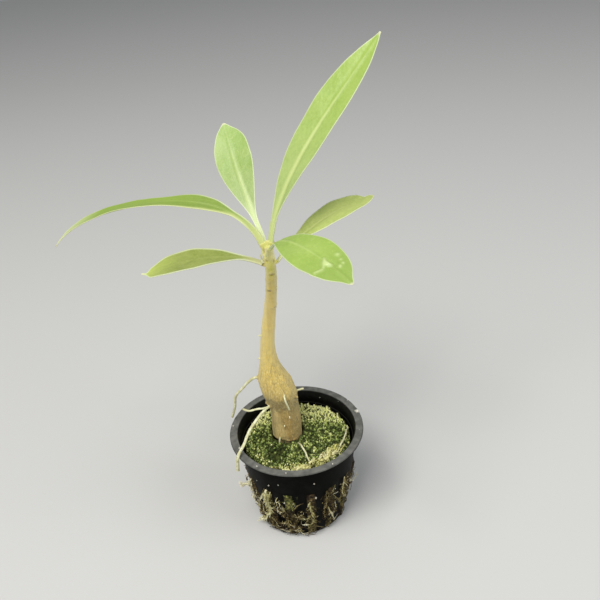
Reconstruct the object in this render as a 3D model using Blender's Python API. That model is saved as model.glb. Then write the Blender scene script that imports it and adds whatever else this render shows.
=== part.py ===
"""A young ant plant in a slotted net pot.

Units are metres, +Z is up, and the origin is the centre of the pot's underside.
The pot stands on its floor, the root medium fills it and swells out of its
slots, a moss cushion covers the medium, and the swollen stem base stands in a
plain hole through the moss. Three pairs of leaves sit at the top of the stem.
"""

import math
import random

import bmesh
import bpy
from mathutils import Matrix, Vector, noise

MM = 0.001
GAP = 0.3 * MM            # clearance between neighbouring pieces

# The pot
POT_HEIGHT = 43.5 * MM
LIP_RADIUS = 27.5 * MM
LIP_THICKNESS = 0.9 * MM
MOUTH_RADIUS = 24.2 * MM
WALL = 1.1 * MM
FLOOR = 1.2 * MM
SHOULDER_DEPTH = 15.5 * MM   # the solid band below the rim
SHOULDER_RADIUS = 22.9 * MM
FOOT_RADIUS = 17.8 * MM
FOOT_CHAMFER = 0.8 * MM
INNER_FOOT_RADIUS = 16.0 * MM   # where the flat floor ends
FILLET_TOP = 2.6 * MM           # where the floor's fillet meets the wall
LIP_EDGE = 0.3 * MM             # softness of the lip's edges
POT_SIDES = 60
SLOTS = 15
SLOT_PHASE = math.radians(-80.7)   # direction of one slot, from +X
SLOT_WIDTH = 3.8 * MM
SLOT_INNER_RADIUS = 11.5 * MM
SLOT_INNER_WIDTH = 2.2 * MM

# The root medium and its moss
MEDIUM_TOP = 33.0 * MM
MOSS_TOP = 38.4 * MM
MOSS_DOME = 1.2 * MM
MOSS_RADIUS = 21.8 * MM
MOSS_TUFT = 2.8 * MM
MOSS_RELIEF = 1.9 * MM
MOSS_HOLLOW = (-5.0 * MM, -13.0 * MM)   # a small bare hollow in the moss
MOSS_HOLLOW_RADIUS = 2.6 * MM
MOSS_HOLLOW_DEPTH = 1.6 * MM
MOSS_ROUND = 1.2 * MM                   # how far the cushion's edge rolls down
SLOT_BULGE = 1.3 * MM
STRANDS_PER_SLOT = 3
STRAND_RADIUS = 0.45 * MM
ROPE_RADIUS = 0.95 * MM           # moss that lies across the foot of a rib
SHAGGY_SIDE = math.radians(215)   # the side where most moss hangs out

# The stem stands in the plane y = STEM_Y. Each station gives its height, its
# sideways place and its diameter in millimetres, from the root tip upwards.
STEM_Y = 3.7 * MM
STEM_SIDES = 16
STEM_STATIONS = (
    (14.0, -3.2, 3.0), (24.0, -3.3, 8.0), (35.5, -3.5, 11.2), (42.0, -3.5, 13.0),
    (50.0, -3.8, 12.9), (57.0, -4.5, 14.1), (62.5, -5.6, 14.2), (67.0, -6.7, 13.3),
    (71.0, -7.5, 10.7), (76.0, -8.0, 7.5), (83.0, -8.0, 5.8), (94.0, -6.4, 5.2),
    (104.0, -4.6, 4.5), (113.0, -3.7, 4.3), (119.0, -3.5, 4.0), (123.0, -3.9, 4.3),
    (125.4, -4.0, 3.2),
)
STEM_STEP = 3.0 * MM
SCAR_HEIGHTS = (92.0, 101.5, 112.5)   # old leaf scars, in millimetres
ROOT_HOLE_CLEARANCE = 0.5 * MM

# Aerial roots: points in millimetres, from the stem outwards, and the diameter.
AERIAL_ROOTS = {
    "left_hook": (1.0, ((-8.0, 3.7, 67.5), (-14.0, 3.8, 68.0), (-16.9, 4.6, 66.0),
                        (-20.5, 5.5, 61.6), (-23.6, 6.4, 57.4), (-24.8, 7.2, 51.8),
                        (-26.3, 8.0, 46.0))),
    "left_short": (0.9, ((-7.0, 1.5, 56.0), (-11.4, -1.5, 56.4), (-14.8, -2.5, 57.0),
                         (-18.0, -3.0, 56.8), (-20.4, -3.0, 58.1))),
    "over_rim": (1.3, ((-7.0, 1.5, 56.6), (-11.2, -1.5, 56.0), (-15.2, -4.2, 53.3),
                       (-18.8, -8.2, 50.8), (-21.0, -11.8, 47.9), (-23.2, -14.6, 45.4),
                       (-24.6, -15.6, 43.6), (-24.7, -15.2, 40.8), (-24.2, -14.6, 37.0))),
    "front_bead": (0.9, ((-4.0, -1.5, 64.0), (-3.6, -3.9, 62.3), (-2.7, -3.8, 59.0),
                         (-2.0, -3.6, 56.2))),
    "back_right": (0.8, ((-1.5, 4.5, 58.0), (1.9, 5.2, 58.2), (4.4, 6.0, 58.5))),
    "on_moss": (0.8, ((-2.5, 0.0, 43.5), (0.3, -4.2, 42.0), (1.8, -8.2, 41.6),
                      (3.4, -10.8, 41.6), (4.2, -15.2, 41.4))),
}
ROOT_SIDES = 6

# Each leaf: where its stalk starts (millimetres), the compass direction at the
# base and at the tip, the rise at four even stations, the twist at three, the
# length and half width, the stalk's half width and share of the length, the
# fold of each half, the two exponents of the outline and the tip's hook.
# Angles are in degrees. Directions are measured from +X towards +Y.
LEAVES = {
    "leaf_left_long": dict(
        start=(-5.9, 3.5, 126.2), turn=(155, 182), rise=(72.5, 6, -13, -48.5),
        twist=(-38, 9, -12), length=89.5, half_width=7.2, stalk=1.1,
        stalk_share=0.07, fold=5, outline=(0.95, 0.9), hook=0),
    "leaf_right_long": dict(
        start=(-2.3, 3.9, 126.6), turn=(13, 19.5), rise=(82, 58, 48, 51.5),
        twist=(23, 25, 23), length=80.5, half_width=6.7, stalk=1.0,
        stalk_share=0.04, fold=8, outline=(1.25, 0.9), hook=0),
    "leaf_back_left": dict(
        start=(-5.1, 6.4, 123.8), turn=(112, 103.5), rise=(61, 38, 40, 41.5),
        twist=(-11, -29, -12), length=52.5, half_width=7.0, stalk=0.7,
        stalk_share=0.16, fold=11, outline=(1.4, 0.7), hook=0),
    "leaf_front_right": dict(
        start=(-2.8, 1.1, 123.5), turn=(-72.5, -48.5), rise=(63, 20, -3, -24),
        twist=(9, 14, 3), length=55.0, half_width=7.8, stalk=0.9,
        stalk_share=0.12, fold=0, outline=(1.4, 0.8), hook=0),
    "leaf_left_low": dict(
        start=(-6.2, 3.7, 118.8), turn=(183, 180.5), rise=(31.5, 5, -10, -31),
        twist=(-18, -9, -4), length=44.0, half_width=6.3, stalk=0.7,
        stalk_share=0.13, fold=9, outline=(1.2, 0.75), hook=52),
    "leaf_back_right": dict(
        start=(-0.9, 4.3, 119.4), turn=(19.5, 18), rise=(41.5, 27, 15, -4.5),
        twist=(1, 4, 4), length=43.5, half_width=6.4, stalk=0.7,
        stalk_share=0.14, fold=11, outline=(1.1, 0.8), hook=25),
}
LEAF_STEP = 3.6 * MM          # length of one cell along a blade
LEAF_CELLS_ACROSS = 6
TIP_HALF_WIDTH = 0.35 * MM
BLADE = 0.65 * MM             # thickness at the margin
MIDRIB = 1.3 * MM             # thickness along the midrib
STALK_THICKNESS = 1.5 * MM
MARGIN_WAVE = 0.25 * MM
STALK_SEAT = 1.25 * MM        # radius of the stem's seat under a stalk


def clear_scene():
    for obj in list(bpy.data.objects):
        bpy.data.objects.remove(obj, do_unlink=True)


def make_material(name, colour, roughness):
    material = bpy.data.materials.new(name)
    material.use_nodes = True
    shader = material.node_tree.nodes["Principled BSDF"]
    shader.inputs["Base Color"].default_value = (*colour, 1.0)
    shader.inputs["Roughness"].default_value = roughness
    return material


def add_object(name, bm, material=None):
    """Makes an object of a bmesh, smooth except at sharp edges."""
    mesh = bpy.data.meshes.new(name)
    bmesh.ops.recalc_face_normals(bm, faces=bm.faces[:])
    bm.to_mesh(mesh)
    bm.free()
    mesh.shade_smooth()
    mesh.set_sharp_from_angle(angle=math.radians(40))
    obj = bpy.data.objects.new(name, mesh)
    bpy.context.scene.collection.objects.link(obj)
    if material:
        mesh.materials.append(material)
    return obj


def apply_modifiers(obj):
    """Replaces an object's mesh by what its modifiers make of it."""
    graph = bpy.context.evaluated_depsgraph_get()
    finished = bpy.data.meshes.new_from_object(obj.evaluated_get(graph))
    obj.modifiers.clear()
    obj.data = finished


def combine(obj, pieces, operation):
    """Joins the pieces to an object or cuts them from it, and removes them."""
    group = bpy.data.collections.new(obj.name + "_pieces")
    for piece in pieces:
        group.objects.link(piece)
    boolean = obj.modifiers.new("Combine", "BOOLEAN")
    boolean.operation = operation
    boolean.operand_type = "COLLECTION"
    boolean.collection = group
    boolean.solver = "EXACT"
    apply_modifiers(obj)
    for piece in pieces:
        bpy.data.objects.remove(piece, do_unlink=True)
    bpy.data.collections.remove(group)


def smooth_step(x):
    x = min(max(x, 0.0), 1.0)
    return x * x * (3 - 2 * x)


def through(values, s):
    """The polynomial through evenly spaced values, at s from 0 to 1."""
    places = [i / (len(values) - 1) for i in range(len(values))]
    total = 0.0
    for i, value in enumerate(values):
        for j, place in enumerate(places):
            if j != i:
                value *= (s - place) / (places[i] - place)
        total += value
    return total


def spline(points, t):
    """A smooth curve through the points, at t from 0 to the last index."""
    last = len(points) - 1
    i = min(int(t), last - 1)
    u = t - i
    before, here, after, beyond = (points[min(max(k, 0), last)] for k in range(i - 1, i + 3))
    return 0.5 * (2 * here + (after - before) * u
                  + (2 * before - 5 * here + 4 * after - beyond) * u ** 2
                  + (3 * here - before - 3 * after + beyond) * u ** 3)


def tube(points, radii, sides, shape=None):
    """A closed tube along the points. shape(point, angle) scales its radius."""
    bm = bmesh.new()
    rings = []
    side = None
    for i, point in enumerate(points):
        along = (points[min(i + 1, len(points) - 1)] - points[max(i - 1, 0)]).normalized()
        if side is None:
            side = along.orthogonal().normalized()
        side = (side - along * side.dot(along)).normalized()
        other = along.cross(side)
        ring = []
        for k in range(sides):
            angle = 2 * math.pi * k / sides
            radius = radii[i] * (shape(point, angle) if shape else 1.0)
            ring.append(bm.verts.new(point + radius * (math.cos(angle) * side + math.sin(angle) * other)))
        rings.append(ring)
    for low, high in zip(rings, rings[1:]):
        for k in range(sides):
            n = (k + 1) % sides
            bm.faces.new((low[k], low[n], high[n], high[k]))
    bm.faces.new(rings[0][::-1])
    bm.faces.new(rings[-1])
    return bm


# The pot

def wall_radius(z):
    """The wall's outer radius at height z."""
    shoulder = POT_HEIGHT - SHOULDER_DEPTH
    if z > shoulder:
        share = (z - shoulder) / SHOULDER_DEPTH
        return SHOULDER_RADIUS + (MOUTH_RADIUS + 0.3 * WALL - SHOULDER_RADIUS) * share
    return FOOT_RADIUS + (SHOULDER_RADIUS - FOOT_RADIUS) * z / shoulder


def turned(profile, sides):
    """A solid of revolution from (radius, height) points, outer side first."""
    bm = bmesh.new()
    verts = [bm.verts.new((r, 0.0, z)) for r, z in profile]
    edges = [bm.edges.new(pair) for pair in zip(verts, verts[1:])]
    bmesh.ops.spin(bm, geom=verts + edges, cent=(0, 0, 0), axis=(0, 0, 1),
                   angle=2 * math.pi, steps=sides, use_merge=True)
    bmesh.ops.remove_doubles(bm, verts=bm.verts[:], dist=0.01 * MM)
    return bm


def slot_cutter(index):
    """A prism that opens the wall and the floor of the pot at one slot."""
    plan = [(SLOT_INNER_RADIUS, SLOT_INNER_WIDTH / 2), (FOOT_RADIUS - WALL, SLOT_WIDTH / 2),
            (LIP_RADIUS, SLOT_WIDTH / 2)]
    outline = plan + [(r, -w) for r, w in reversed(plan)]
    bm = bmesh.new()
    face = bm.faces.new([bm.verts.new((r, w, -MM)) for r, w in outline])
    extruded = bmesh.ops.extrude_face_region(bm, geom=[face])["geom"]
    top = [v for v in extruded if isinstance(v, bmesh.types.BMVert)]
    bmesh.ops.translate(bm, vec=(0, 0, POT_HEIGHT - SHOULDER_DEPTH + MM), verts=top)
    cutter = add_object(f"slot_cutter_{index}", bm)
    cutter.data.transform(Matrix.Rotation(slot_angle(index), 4, "Z"))
    return cutter


def slot_angle(index):
    return SLOT_PHASE + 2 * math.pi * index / SLOTS


def make_pot(material):
    top = POT_HEIGHT
    neck = top - LIP_THICKNESS
    shoulder = top - SHOULDER_DEPTH
    profile = [
        (0.0, FLOOR), (INNER_FOOT_RADIUS, FLOOR),
        (wall_radius(FILLET_TOP) - WALL, FILLET_TOP),
        (SHOULDER_RADIUS - WALL, shoulder), (wall_radius(neck) - WALL, neck - WALL),
        (MOUTH_RADIUS, top - LIP_EDGE), (MOUTH_RADIUS + LIP_EDGE, top),
        (LIP_RADIUS - LIP_EDGE, top), (LIP_RADIUS, top - LIP_EDGE),
        (LIP_RADIUS, neck + LIP_EDGE), (LIP_RADIUS - LIP_EDGE, neck),
        (wall_radius(neck) + 2 * LIP_EDGE, neck), (wall_radius(neck), neck - 2 * LIP_EDGE),
        (SHOULDER_RADIUS, shoulder), (wall_radius(FOOT_CHAMFER), FOOT_CHAMFER),
        (FOOT_RADIUS - FOOT_CHAMFER, 0.0), (0.0, 0.0),
    ]
    pot = add_object("pot", turned(profile, POT_SIDES), material)
    combine(pot, [slot_cutter(i) for i in range(SLOTS)], "DIFFERENCE")
    return pot


# The root medium

def slot_pad(index, rng):
    """The medium that swells out through one slot, with a lumpy face."""
    columns, rows = 3, 10
    half = SLOT_WIDTH / 2 - GAP
    low = 0.5 * MM
    high = POT_HEIGHT - SHOULDER_DEPTH - GAP - 0.2 * MM
    root = FOOT_RADIUS - 0.9 * WALL
    bm = bmesh.new()
    bmesh.ops.create_grid(bm, x_segments=columns, y_segments=rows, size=1)
    for v in bm.verts:
        across, up = v.co.x, (v.co.y + 1) / 2
        z = low + (high - low) * up
        edge = (1 - abs(across) ** 4) * (1 - (2 * up - 1) ** 8)
        swell = GAP + edge * rng.uniform(0.2, 1.0) * SLOT_BULGE
        v.co = (wall_radius(z) + swell, half * across, z)
    rim = [e for e in bm.edges if e.is_boundary]
    back = bmesh.ops.extrude_edge_only(bm, edges=rim)["geom"]
    for v in back:
        if isinstance(v, bmesh.types.BMVert):
            v.co.x = root
    bmesh.ops.contextual_create(bm, geom=[e for e in bm.edges if e.is_boundary])
    pad = add_object(f"slot_pad_{index}", bm)
    pad.data.transform(Matrix.Rotation(slot_angle(index), 4, "Z"))
    return pad


def shagginess(angle):
    """1 on the side where most moss hangs out, falling to 0 opposite."""
    return (1 + math.cos(angle - SHAGGY_SIDE)) / 2


def strand(index, rng):
    """A loose moss strand that hangs from a slot, clear of the ribs."""
    angle = slot_angle(index) + rng.uniform(-0.3, 0.3) * SLOT_WIDTH / SHOULDER_RADIUS
    out = Vector((math.cos(angle), math.sin(angle), 0.0))
    aside = Vector((-out.y, out.x, 0.0)) * rng.choice((-1, 1))
    z = rng.uniform(6.0, 25.0) * MM
    reach = rng.uniform(1.2, 2.4) * MM * (1 + 0.5 * shagginess(angle))
    drop = rng.uniform(-4.0, 1.5) * MM
    drop = max(drop, 2.5 * MM - z)
    sweep = rng.uniform(0.0, 2.2) * MM
    wall = wall_radius(z)
    points = [out * (wall - 1.5 * MM) + Vector((0, 0, z)),
              out * (wall + 1.3 * MM) + Vector((0, 0, z)),
              out * (wall + reach + 0.4 * MM) + aside * 0.5 * sweep + Vector((0, 0, z + 0.4 * drop)),
              out * (wall + reach + 0.6 * MM) + aside * sweep + Vector((0, 0, z + drop))]
    radii = [STRAND_RADIUS, STRAND_RADIUS, 0.8 * STRAND_RADIUS, 0.45 * STRAND_RADIUS]
    return add_object(f"strand_{index}", tube(points, radii, 4))


def rope(index, rng):
    """A rope of moss from one slot to the next, passing outside the rib."""
    pitch = 2 * math.pi / SLOTS
    low, high = rng.uniform(2.6, 13.0) * MM, rng.uniform(2.6, 13.0) * MM
    slot_edge = 0.62 * SLOT_WIDTH / FOOT_RADIUS / pitch
    shares = (0.0, slot_edge, 0.38, 0.5, 0.62, 1 - slot_edge, 1.0)
    points, radii = [], []
    for share in shares:
        z = low + (high - low) * share
        on_rib = 0.0 if share in (0.0, 1.0) else 1.0
        radius = ROPE_RADIUS * (rng.uniform(0.75, 1.15) if on_rib else 0.8)
        out = wall_radius(z) + (1.5 * GAP + radius if on_rib else GAP)
        angle = slot_angle(index) + pitch * share
        points.append(Vector((out * math.cos(angle), out * math.sin(angle), z)))
        radii.append(radius)
    return add_object(f"rope_{index}", tube(points, radii, 5))


def make_medium(material):
    rng = random.Random(7)
    low = FLOOR + GAP
    profile = [(0.0, low), (INNER_FOOT_RADIUS - 2 * GAP, low)]
    for z in (FILLET_TOP + 2 * GAP, POT_HEIGHT - SHOULDER_DEPTH, MEDIUM_TOP):
        profile.append((wall_radius(z) - WALL - GAP, z))
    profile.append((0.0, MEDIUM_TOP))
    medium = add_object("sphagnum_fill", turned(profile, 4 * SLOTS), material)
    pieces = [slot_pad(i, rng) for i in range(SLOTS)]
    pieces += [strand(i, rng) for i in range(SLOTS) for _ in range(STRANDS_PER_SLOT)]
    for i in range(SLOTS):
        ropes = 1 + round(1.4 * shagginess(slot_angle(i + 0.5)))
        pieces += [rope(i, rng) for _ in range(ropes)]
    combine(medium, pieces, "UNION")
    combine(medium, [rootstock_cutter()], "DIFFERENCE")
    return medium


# The moss cushion

def moss_height(x, y):
    """The moss surface: a low dome of crowded tufts, fading at its edges."""
    radius = math.hypot(x, y)
    dome = MOSS_TOP + MOSS_DOME * (1 - (radius / MOSS_RADIUS) ** 2)
    tuft = noise.voronoi(Vector((x / MOSS_TUFT, y / MOSS_TUFT, 0.3)))[0]
    lump = 1 - min(tuft[0] * 1.6, 1.0) ** 1.5
    away = math.hypot(x - MOSS_HOLLOW[0], y - MOSS_HOLLOW[1]) / MOSS_HOLLOW_RADIUS
    return dome + MOSS_RELIEF * (lump - 0.6) - MOSS_HOLLOW_DEPTH * math.exp(-away ** 2)


def make_moss(material):
    around, rings = 60, 12
    hole = stem_at(MOSS_TOP)[1] + ROOT_HOLE_CLEARANCE
    centre = stem_at(MOSS_TOP)[0]
    base = MEDIUM_TOP + GAP
    bm = bmesh.new()
    loops = []
    for i in range(rings + 1):
        share = i / rings
        loop = []
        for k in range(around):
            angle = 2 * math.pi * k / around
            ray = Vector((math.cos(angle), math.sin(angle), 0.0))
            inner = Vector((centre.x, centre.y, 0.0)) + hole * ray
            outer = MOSS_RADIUS * ray
            place = inner.lerp(outer, share)
            if 0 < i < rings:
                place += ray * 0.5 * MM * noise.noise(Vector((k * 0.9, i * 1.3, 2.0)))
            fade = MOSS_ROUND * smooth_step((share - 0.85) / 0.15)
            place.z = moss_height(place.x, place.y) - fade
            loop.append(bm.verts.new(place))
        loops.append(loop)
    loops.append([bm.verts.new((v.co.x, v.co.y, base)) for v in loops[rings]])
    loops.append([bm.verts.new((v.co.x, v.co.y, base)) for v in loops[0]])
    for low, high in zip(loops, loops[1:] + loops[:1]):
        for k in range(around):
            n = (k + 1) % around
            bm.faces.new((low[k], low[n], high[n], high[k]))
    bmesh.ops.triangulate(bm, faces=bm.faces[:])
    return add_object("moss_cushion", bm, material)


# The swollen stem

def stem_at(z):
    """The stem's centre and radius at height z."""
    stations = [Vector(s) * MM for s in STEM_STATIONS]
    last = len(stations) - 1
    i = 0
    while i < last - 1 and stations[i + 1].x < z:
        i += 1
    share = (z - stations[i].x) / (stations[i + 1].x - stations[i].x)
    station = spline(stations, i + min(max(share, 0.0), 1.0))
    return Vector((station.y, STEM_Y, z)), station.z / 2


def stem_swell(point, angle):
    """Low lobes round the swollen base and a raised ring at each leaf scar."""
    z = point.z / MM
    lobes = 0.022 * math.sin(3 * angle + z / 9) + 0.012 * math.sin(7 * angle - z / 5)
    scars = sum(0.09 * math.exp(-((z - height) / 0.8) ** 2) for height in SCAR_HEIGHTS)
    return 1 + lobes + scars


def stem_heights():
    low, high = STEM_STATIONS[0][0] * MM, STEM_STATIONS[-1][0] * MM
    count = round((high - low) / STEM_STEP)
    heights = [low + (high - low) * i / count for i in range(count + 1)]
    for scar in SCAR_HEIGHTS:
        nearest = min(range(1, count), key=lambda i: abs(heights[i] - scar * MM))
        heights[nearest] = scar * MM
    return heights


def rootstock_cutter():
    """The hole that the buried end of the stem stands in."""
    root_tip = STEM_STATIONS[0][0] * MM
    low, high = root_tip - 2 * GAP, MEDIUM_TOP + MM
    points, radii = [], []
    for i in range(6):
        z = low + (high - low) * i / 5
        centre, radius = stem_at(max(z, root_tip))
        points.append(Vector((centre.x, centre.y, z)))
        radii.append(radius + ROOT_HOLE_CLEARANCE)
    return add_object("rootstock_cutter", tube(points, radii, STEM_SIDES))


def aerial_root(name, diameter, points):
    path = [Vector(p) * MM for p in points]
    count = 2 * (len(path) - 1)
    route = [spline(path, (len(path) - 1) * i / count) for i in range(count + 1)]
    taper = [1 - 0.45 * smooth_step((i / count - 0.5) / 0.5) for i in range(count + 1)]
    radii = [diameter * MM / 2 * share for share in taper]
    return add_object(name, tube(route, radii, ROOT_SIDES))


def stalk_seat(name, leaf):
    """The short cushion of the stem that a leaf stalk springs from."""
    start, along, _, upper = leaf_frame(leaf, 0.0)
    middle = start - upper * 0.5 * STALK_THICKNESS
    end = middle - along * GAP
    centre, _ = stem_at(min(middle.z, STEM_STATIONS[-1][0] * MM) - 2.5 * MM)
    points = [centre, centre.lerp(end, 0.5) - Vector((0, 0, 0.3 * MM)), end - along * 0.6 * MM, end]
    width = max(STALK_SEAT, leaf["stalk"] * MM)
    return add_object(name, tube(points, [0.8 * width, width, width, 0.9 * width], 8))


def make_stem(material):
    heights = stem_heights()
    points = [stem_at(z)[0] for z in heights]
    radii = [stem_at(z)[1] for z in heights]
    stem = add_object("caudex_stem", tube(points, radii, STEM_SIDES, stem_swell), material)
    pieces = [stalk_seat(f"seat_{name}", leaf) for name, leaf in LEAVES.items()]
    for name, (diameter, route) in AERIAL_ROOTS.items():
        pieces.append(aerial_root(f"root_{name}", diameter, route))
    combine(stem, pieces, "UNION")
    return stem


# The leaves

def leaf_direction(leaf, s):
    rise = math.radians(through(leaf["rise"], s))
    rise += math.radians(leaf["hook"]) * max((s - 0.86) / 0.14, 0.0) ** 2
    turn = math.radians(through(leaf["turn"], s))
    return Vector((math.cos(rise) * math.cos(turn), math.cos(rise) * math.sin(turn), math.sin(rise))), turn


def leaf_frame(leaf, s, steps=48):
    """A point of the midrib at s from 0 to 1, with the way along, across and up."""
    point = Vector(leaf["start"]) * MM
    length = leaf["length"] * MM
    for i in range(steps):
        step = min(max(s * steps - i, 0.0), 1.0)
        point += leaf_direction(leaf, (i + 0.5) / steps)[0] * step * length / steps
    along, turn = leaf_direction(leaf, s)
    level = Vector((-math.sin(turn), math.cos(turn), 0.0))
    normal = along.cross(level)
    twist = math.radians(through(leaf["twist"], s))
    across = level * math.cos(twist) + normal * math.sin(twist)
    return point, along, across, along.cross(across)


def leaf_half_width(leaf, s):
    rise, fall = leaf["outline"]
    widest = rise / (rise + fall)
    u = min(max((s - leaf["stalk_share"]) / (1 - leaf["stalk_share"]), 0.0), 1.0)
    blade = u ** rise * (1 - u) ** fall / (widest ** rise * (1 - widest) ** fall)
    stalk = max(leaf["stalk"] * MM * min((1 - s) * 3, 1.0), TIP_HALF_WIDTH)
    return math.hypot(leaf["half_width"] * MM * blade, stalk)


def make_leaf(name, leaf, material):
    """A blade on a grid, split into triangles and given its thickness below."""
    rows = round(leaf["length"] * MM / LEAF_STEP)
    columns = LEAF_CELLS_ACROSS
    fold = math.radians(leaf["fold"])
    bm = bmesh.new()
    bmesh.ops.create_grid(bm, x_segments=columns, y_segments=rows, size=1)
    weights = []
    for v in bm.verts:
        across_share, s = v.co.x, (v.co.y + 1) / 2
        point, along, across, upper = leaf_frame(leaf, s)
        half = leaf_half_width(leaf, s)
        blade_share = min(half / (leaf["half_width"] * MM), 1.0)
        wave = MARGIN_WAVE * math.sin(9 * math.pi * s + 2 * across_share) * blade_share
        spread = half * across_share
        lift = half * abs(across_share) ** 1.4 * math.sin(fold) + wave * across_share ** 2
        v.co = point + across * spread * math.cos(fold) + upper * lift
        rib = math.exp(-(across_share * half / (1.1 * MM)) ** 2)
        stalk = 1 - smooth_step(s / (leaf["stalk_share"] + 0.08))
        middle = MIDRIB + (STALK_THICKNESS - MIDRIB) * stalk
        margin = BLADE + (0.6 * STALK_THICKNESS - BLADE) * stalk
        tip = smooth_step((s - 0.7) / 0.3)
        thickness = margin + (middle - margin) * rib * (1 - tip)
        weights.append(thickness / STALK_THICKNESS)
    bmesh.ops.triangulate(bm, faces=bm.faces[:], quad_method="FIXED")
    obj = add_object(name, bm, material)
    group = obj.vertex_groups.new(name="Thickness")
    for index, weight in enumerate(weights):
        group.add([index], weight, "REPLACE")
    if obj.data.polygons[0].normal.dot(leaf_frame(leaf, 0.0)[3]) < 0:
        obj.data.flip_normals()
    solid = obj.modifiers.new("Blade", "SOLIDIFY")
    solid.thickness = STALK_THICKNESS
    solid.offset = -1
    solid.vertex_group = group.name
    return obj


def main():
    clear_scene()
    plastic = make_material("black_plastic", (0.012, 0.012, 0.013), 0.5)
    sphagnum = make_material("dead_sphagnum", (0.24, 0.17, 0.07), 0.95)
    moss = make_material("living_moss", (0.07, 0.13, 0.03), 0.95)
    bark = make_material("stem_bark", (0.36, 0.25, 0.10), 0.75)
    leaf_green = make_material("leaf_green", (0.26, 0.42, 0.10), 0.5)
    make_pot(plastic)
    make_medium(sphagnum)
    make_moss(moss)
    make_stem(bark)
    for name, leaf in LEAVES.items():
        make_leaf(name, leaf, leaf_green)


main()
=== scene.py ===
# %% [markdown]
# # A young ant plant in a net pot
#
# An ant plant grows on the bark of trees. Its stem base swells into a hollow
# body, a caudex, and its leathery leaves come in crossed pairs at the top of a
# slim stem. This one stands in a black net pot, a thin plastic pot with slots.
# Dead bog moss fills the pot, and living moss covers the top.
#
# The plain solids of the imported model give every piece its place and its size.
# The steps below replace each of them by a finer piece of the same size. All
# lengths are in metres, and +Z points up.

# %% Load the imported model
import math
import random

import bpy
import numpy as np
from mathutils import Matrix, Vector, noise


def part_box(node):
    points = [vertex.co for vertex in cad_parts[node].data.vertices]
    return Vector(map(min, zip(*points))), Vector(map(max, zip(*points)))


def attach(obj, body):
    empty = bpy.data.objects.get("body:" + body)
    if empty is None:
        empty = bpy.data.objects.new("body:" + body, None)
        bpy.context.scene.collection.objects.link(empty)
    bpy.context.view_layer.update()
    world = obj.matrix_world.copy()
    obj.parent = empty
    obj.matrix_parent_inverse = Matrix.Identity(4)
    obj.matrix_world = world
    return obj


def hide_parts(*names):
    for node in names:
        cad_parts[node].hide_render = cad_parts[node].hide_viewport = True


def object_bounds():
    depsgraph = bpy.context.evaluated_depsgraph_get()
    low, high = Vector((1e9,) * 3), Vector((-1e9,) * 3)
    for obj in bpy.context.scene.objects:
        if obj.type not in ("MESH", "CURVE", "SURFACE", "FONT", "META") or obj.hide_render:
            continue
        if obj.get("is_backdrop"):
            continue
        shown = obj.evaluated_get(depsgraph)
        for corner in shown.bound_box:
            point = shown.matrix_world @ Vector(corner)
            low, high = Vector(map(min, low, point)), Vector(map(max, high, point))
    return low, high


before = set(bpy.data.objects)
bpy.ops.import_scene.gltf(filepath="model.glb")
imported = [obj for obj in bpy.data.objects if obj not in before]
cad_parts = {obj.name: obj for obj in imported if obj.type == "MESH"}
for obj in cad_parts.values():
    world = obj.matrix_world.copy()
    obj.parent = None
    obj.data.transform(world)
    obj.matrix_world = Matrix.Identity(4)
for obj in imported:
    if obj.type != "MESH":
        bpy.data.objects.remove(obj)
cad_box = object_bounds()
MM = 0.001
print("nodes:", ", ".join(sorted(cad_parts)))

# %% [markdown]
# ## The camera
#
# The pot's round lip shows as an ellipse, and its shape tells how steeply the
# camera looks down. The upright stem and the pot's leaning axis tell how far the
# camera is rolled. With both known, the camera's three axes can be written down
# as vectors, which is clearer than three turns, and set as the columns of a
# matrix.

# %% The camera
CAMERA_PLACE = Vector((0.0061, -0.2207, 0.2367))
LOOK_DOWN = math.radians(30.95)
ROLL = math.radians(5.03)
FOCAL_LENGTH = 42

forward = Vector((0, math.cos(LOOK_DOWN), -math.sin(LOOK_DOWN)))
upright = Vector((0, math.sin(LOOK_DOWN), math.cos(LOOK_DOWN)))
right = Vector((1, 0, 0)) * math.cos(ROLL) - upright * math.sin(ROLL)
up = Vector((1, 0, 0)) * math.sin(ROLL) + upright * math.cos(ROLL)
bpy.ops.object.camera_add()
camera = bpy.context.object
axes = Matrix((right, up, -forward)).transposed().to_4x4()
camera.matrix_world = Matrix.Translation(CAMERA_PLACE) @ axes
camera.data.lens = FOCAL_LENGTH
camera.data.clip_start = 0.01
bpy.context.scene.camera = camera
print("camera distance to the pot:", round(CAMERA_PLACE.length, 3), "m")

# %% [markdown]
# ## The floor and the light
#
# A pale floor keeps the dark pot readable and sends some light back up to the
# slots. One large lamp above and in front gives soft shadows. A weaker one from
# the right opens them, and the sky gives an even base. A lamp's light falls with
# the square of its distance, so small scenes need only a few watts.

# %% The floor and the light
FLOOR_DROP = 0.05 * MM        # keeps the floor clear of the pot's underside
bpy.ops.mesh.primitive_plane_add(size=4, location=(0, 0, -FLOOR_DROP))
floor = bpy.context.object
floor.name = "studio_floor"
paper = bpy.data.materials.new("pale_paper")
paper.use_nodes = True
paper_shader = paper.node_tree.nodes["Principled BSDF"]
paper_shader.inputs["Base Color"].default_value = (0.62, 0.62, 0.6, 1)
paper_shader.inputs["Roughness"].default_value = 0.9
floor.data.materials.append(paper)
floor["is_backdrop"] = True


def add_lamp(name, place, watts, size, colour):
    """A square lamp that faces the middle of the plant."""
    bpy.ops.object.light_add(type="AREA", location=place)
    lamp = bpy.context.object
    lamp.name = name
    lamp.rotation_euler = (Vector((0, 0, 0.09)) - Vector(place)).to_track_quat("-Z", "Y").to_euler()
    lamp.data.energy = watts
    lamp.data.size = size
    lamp.data.color = colour


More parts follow.
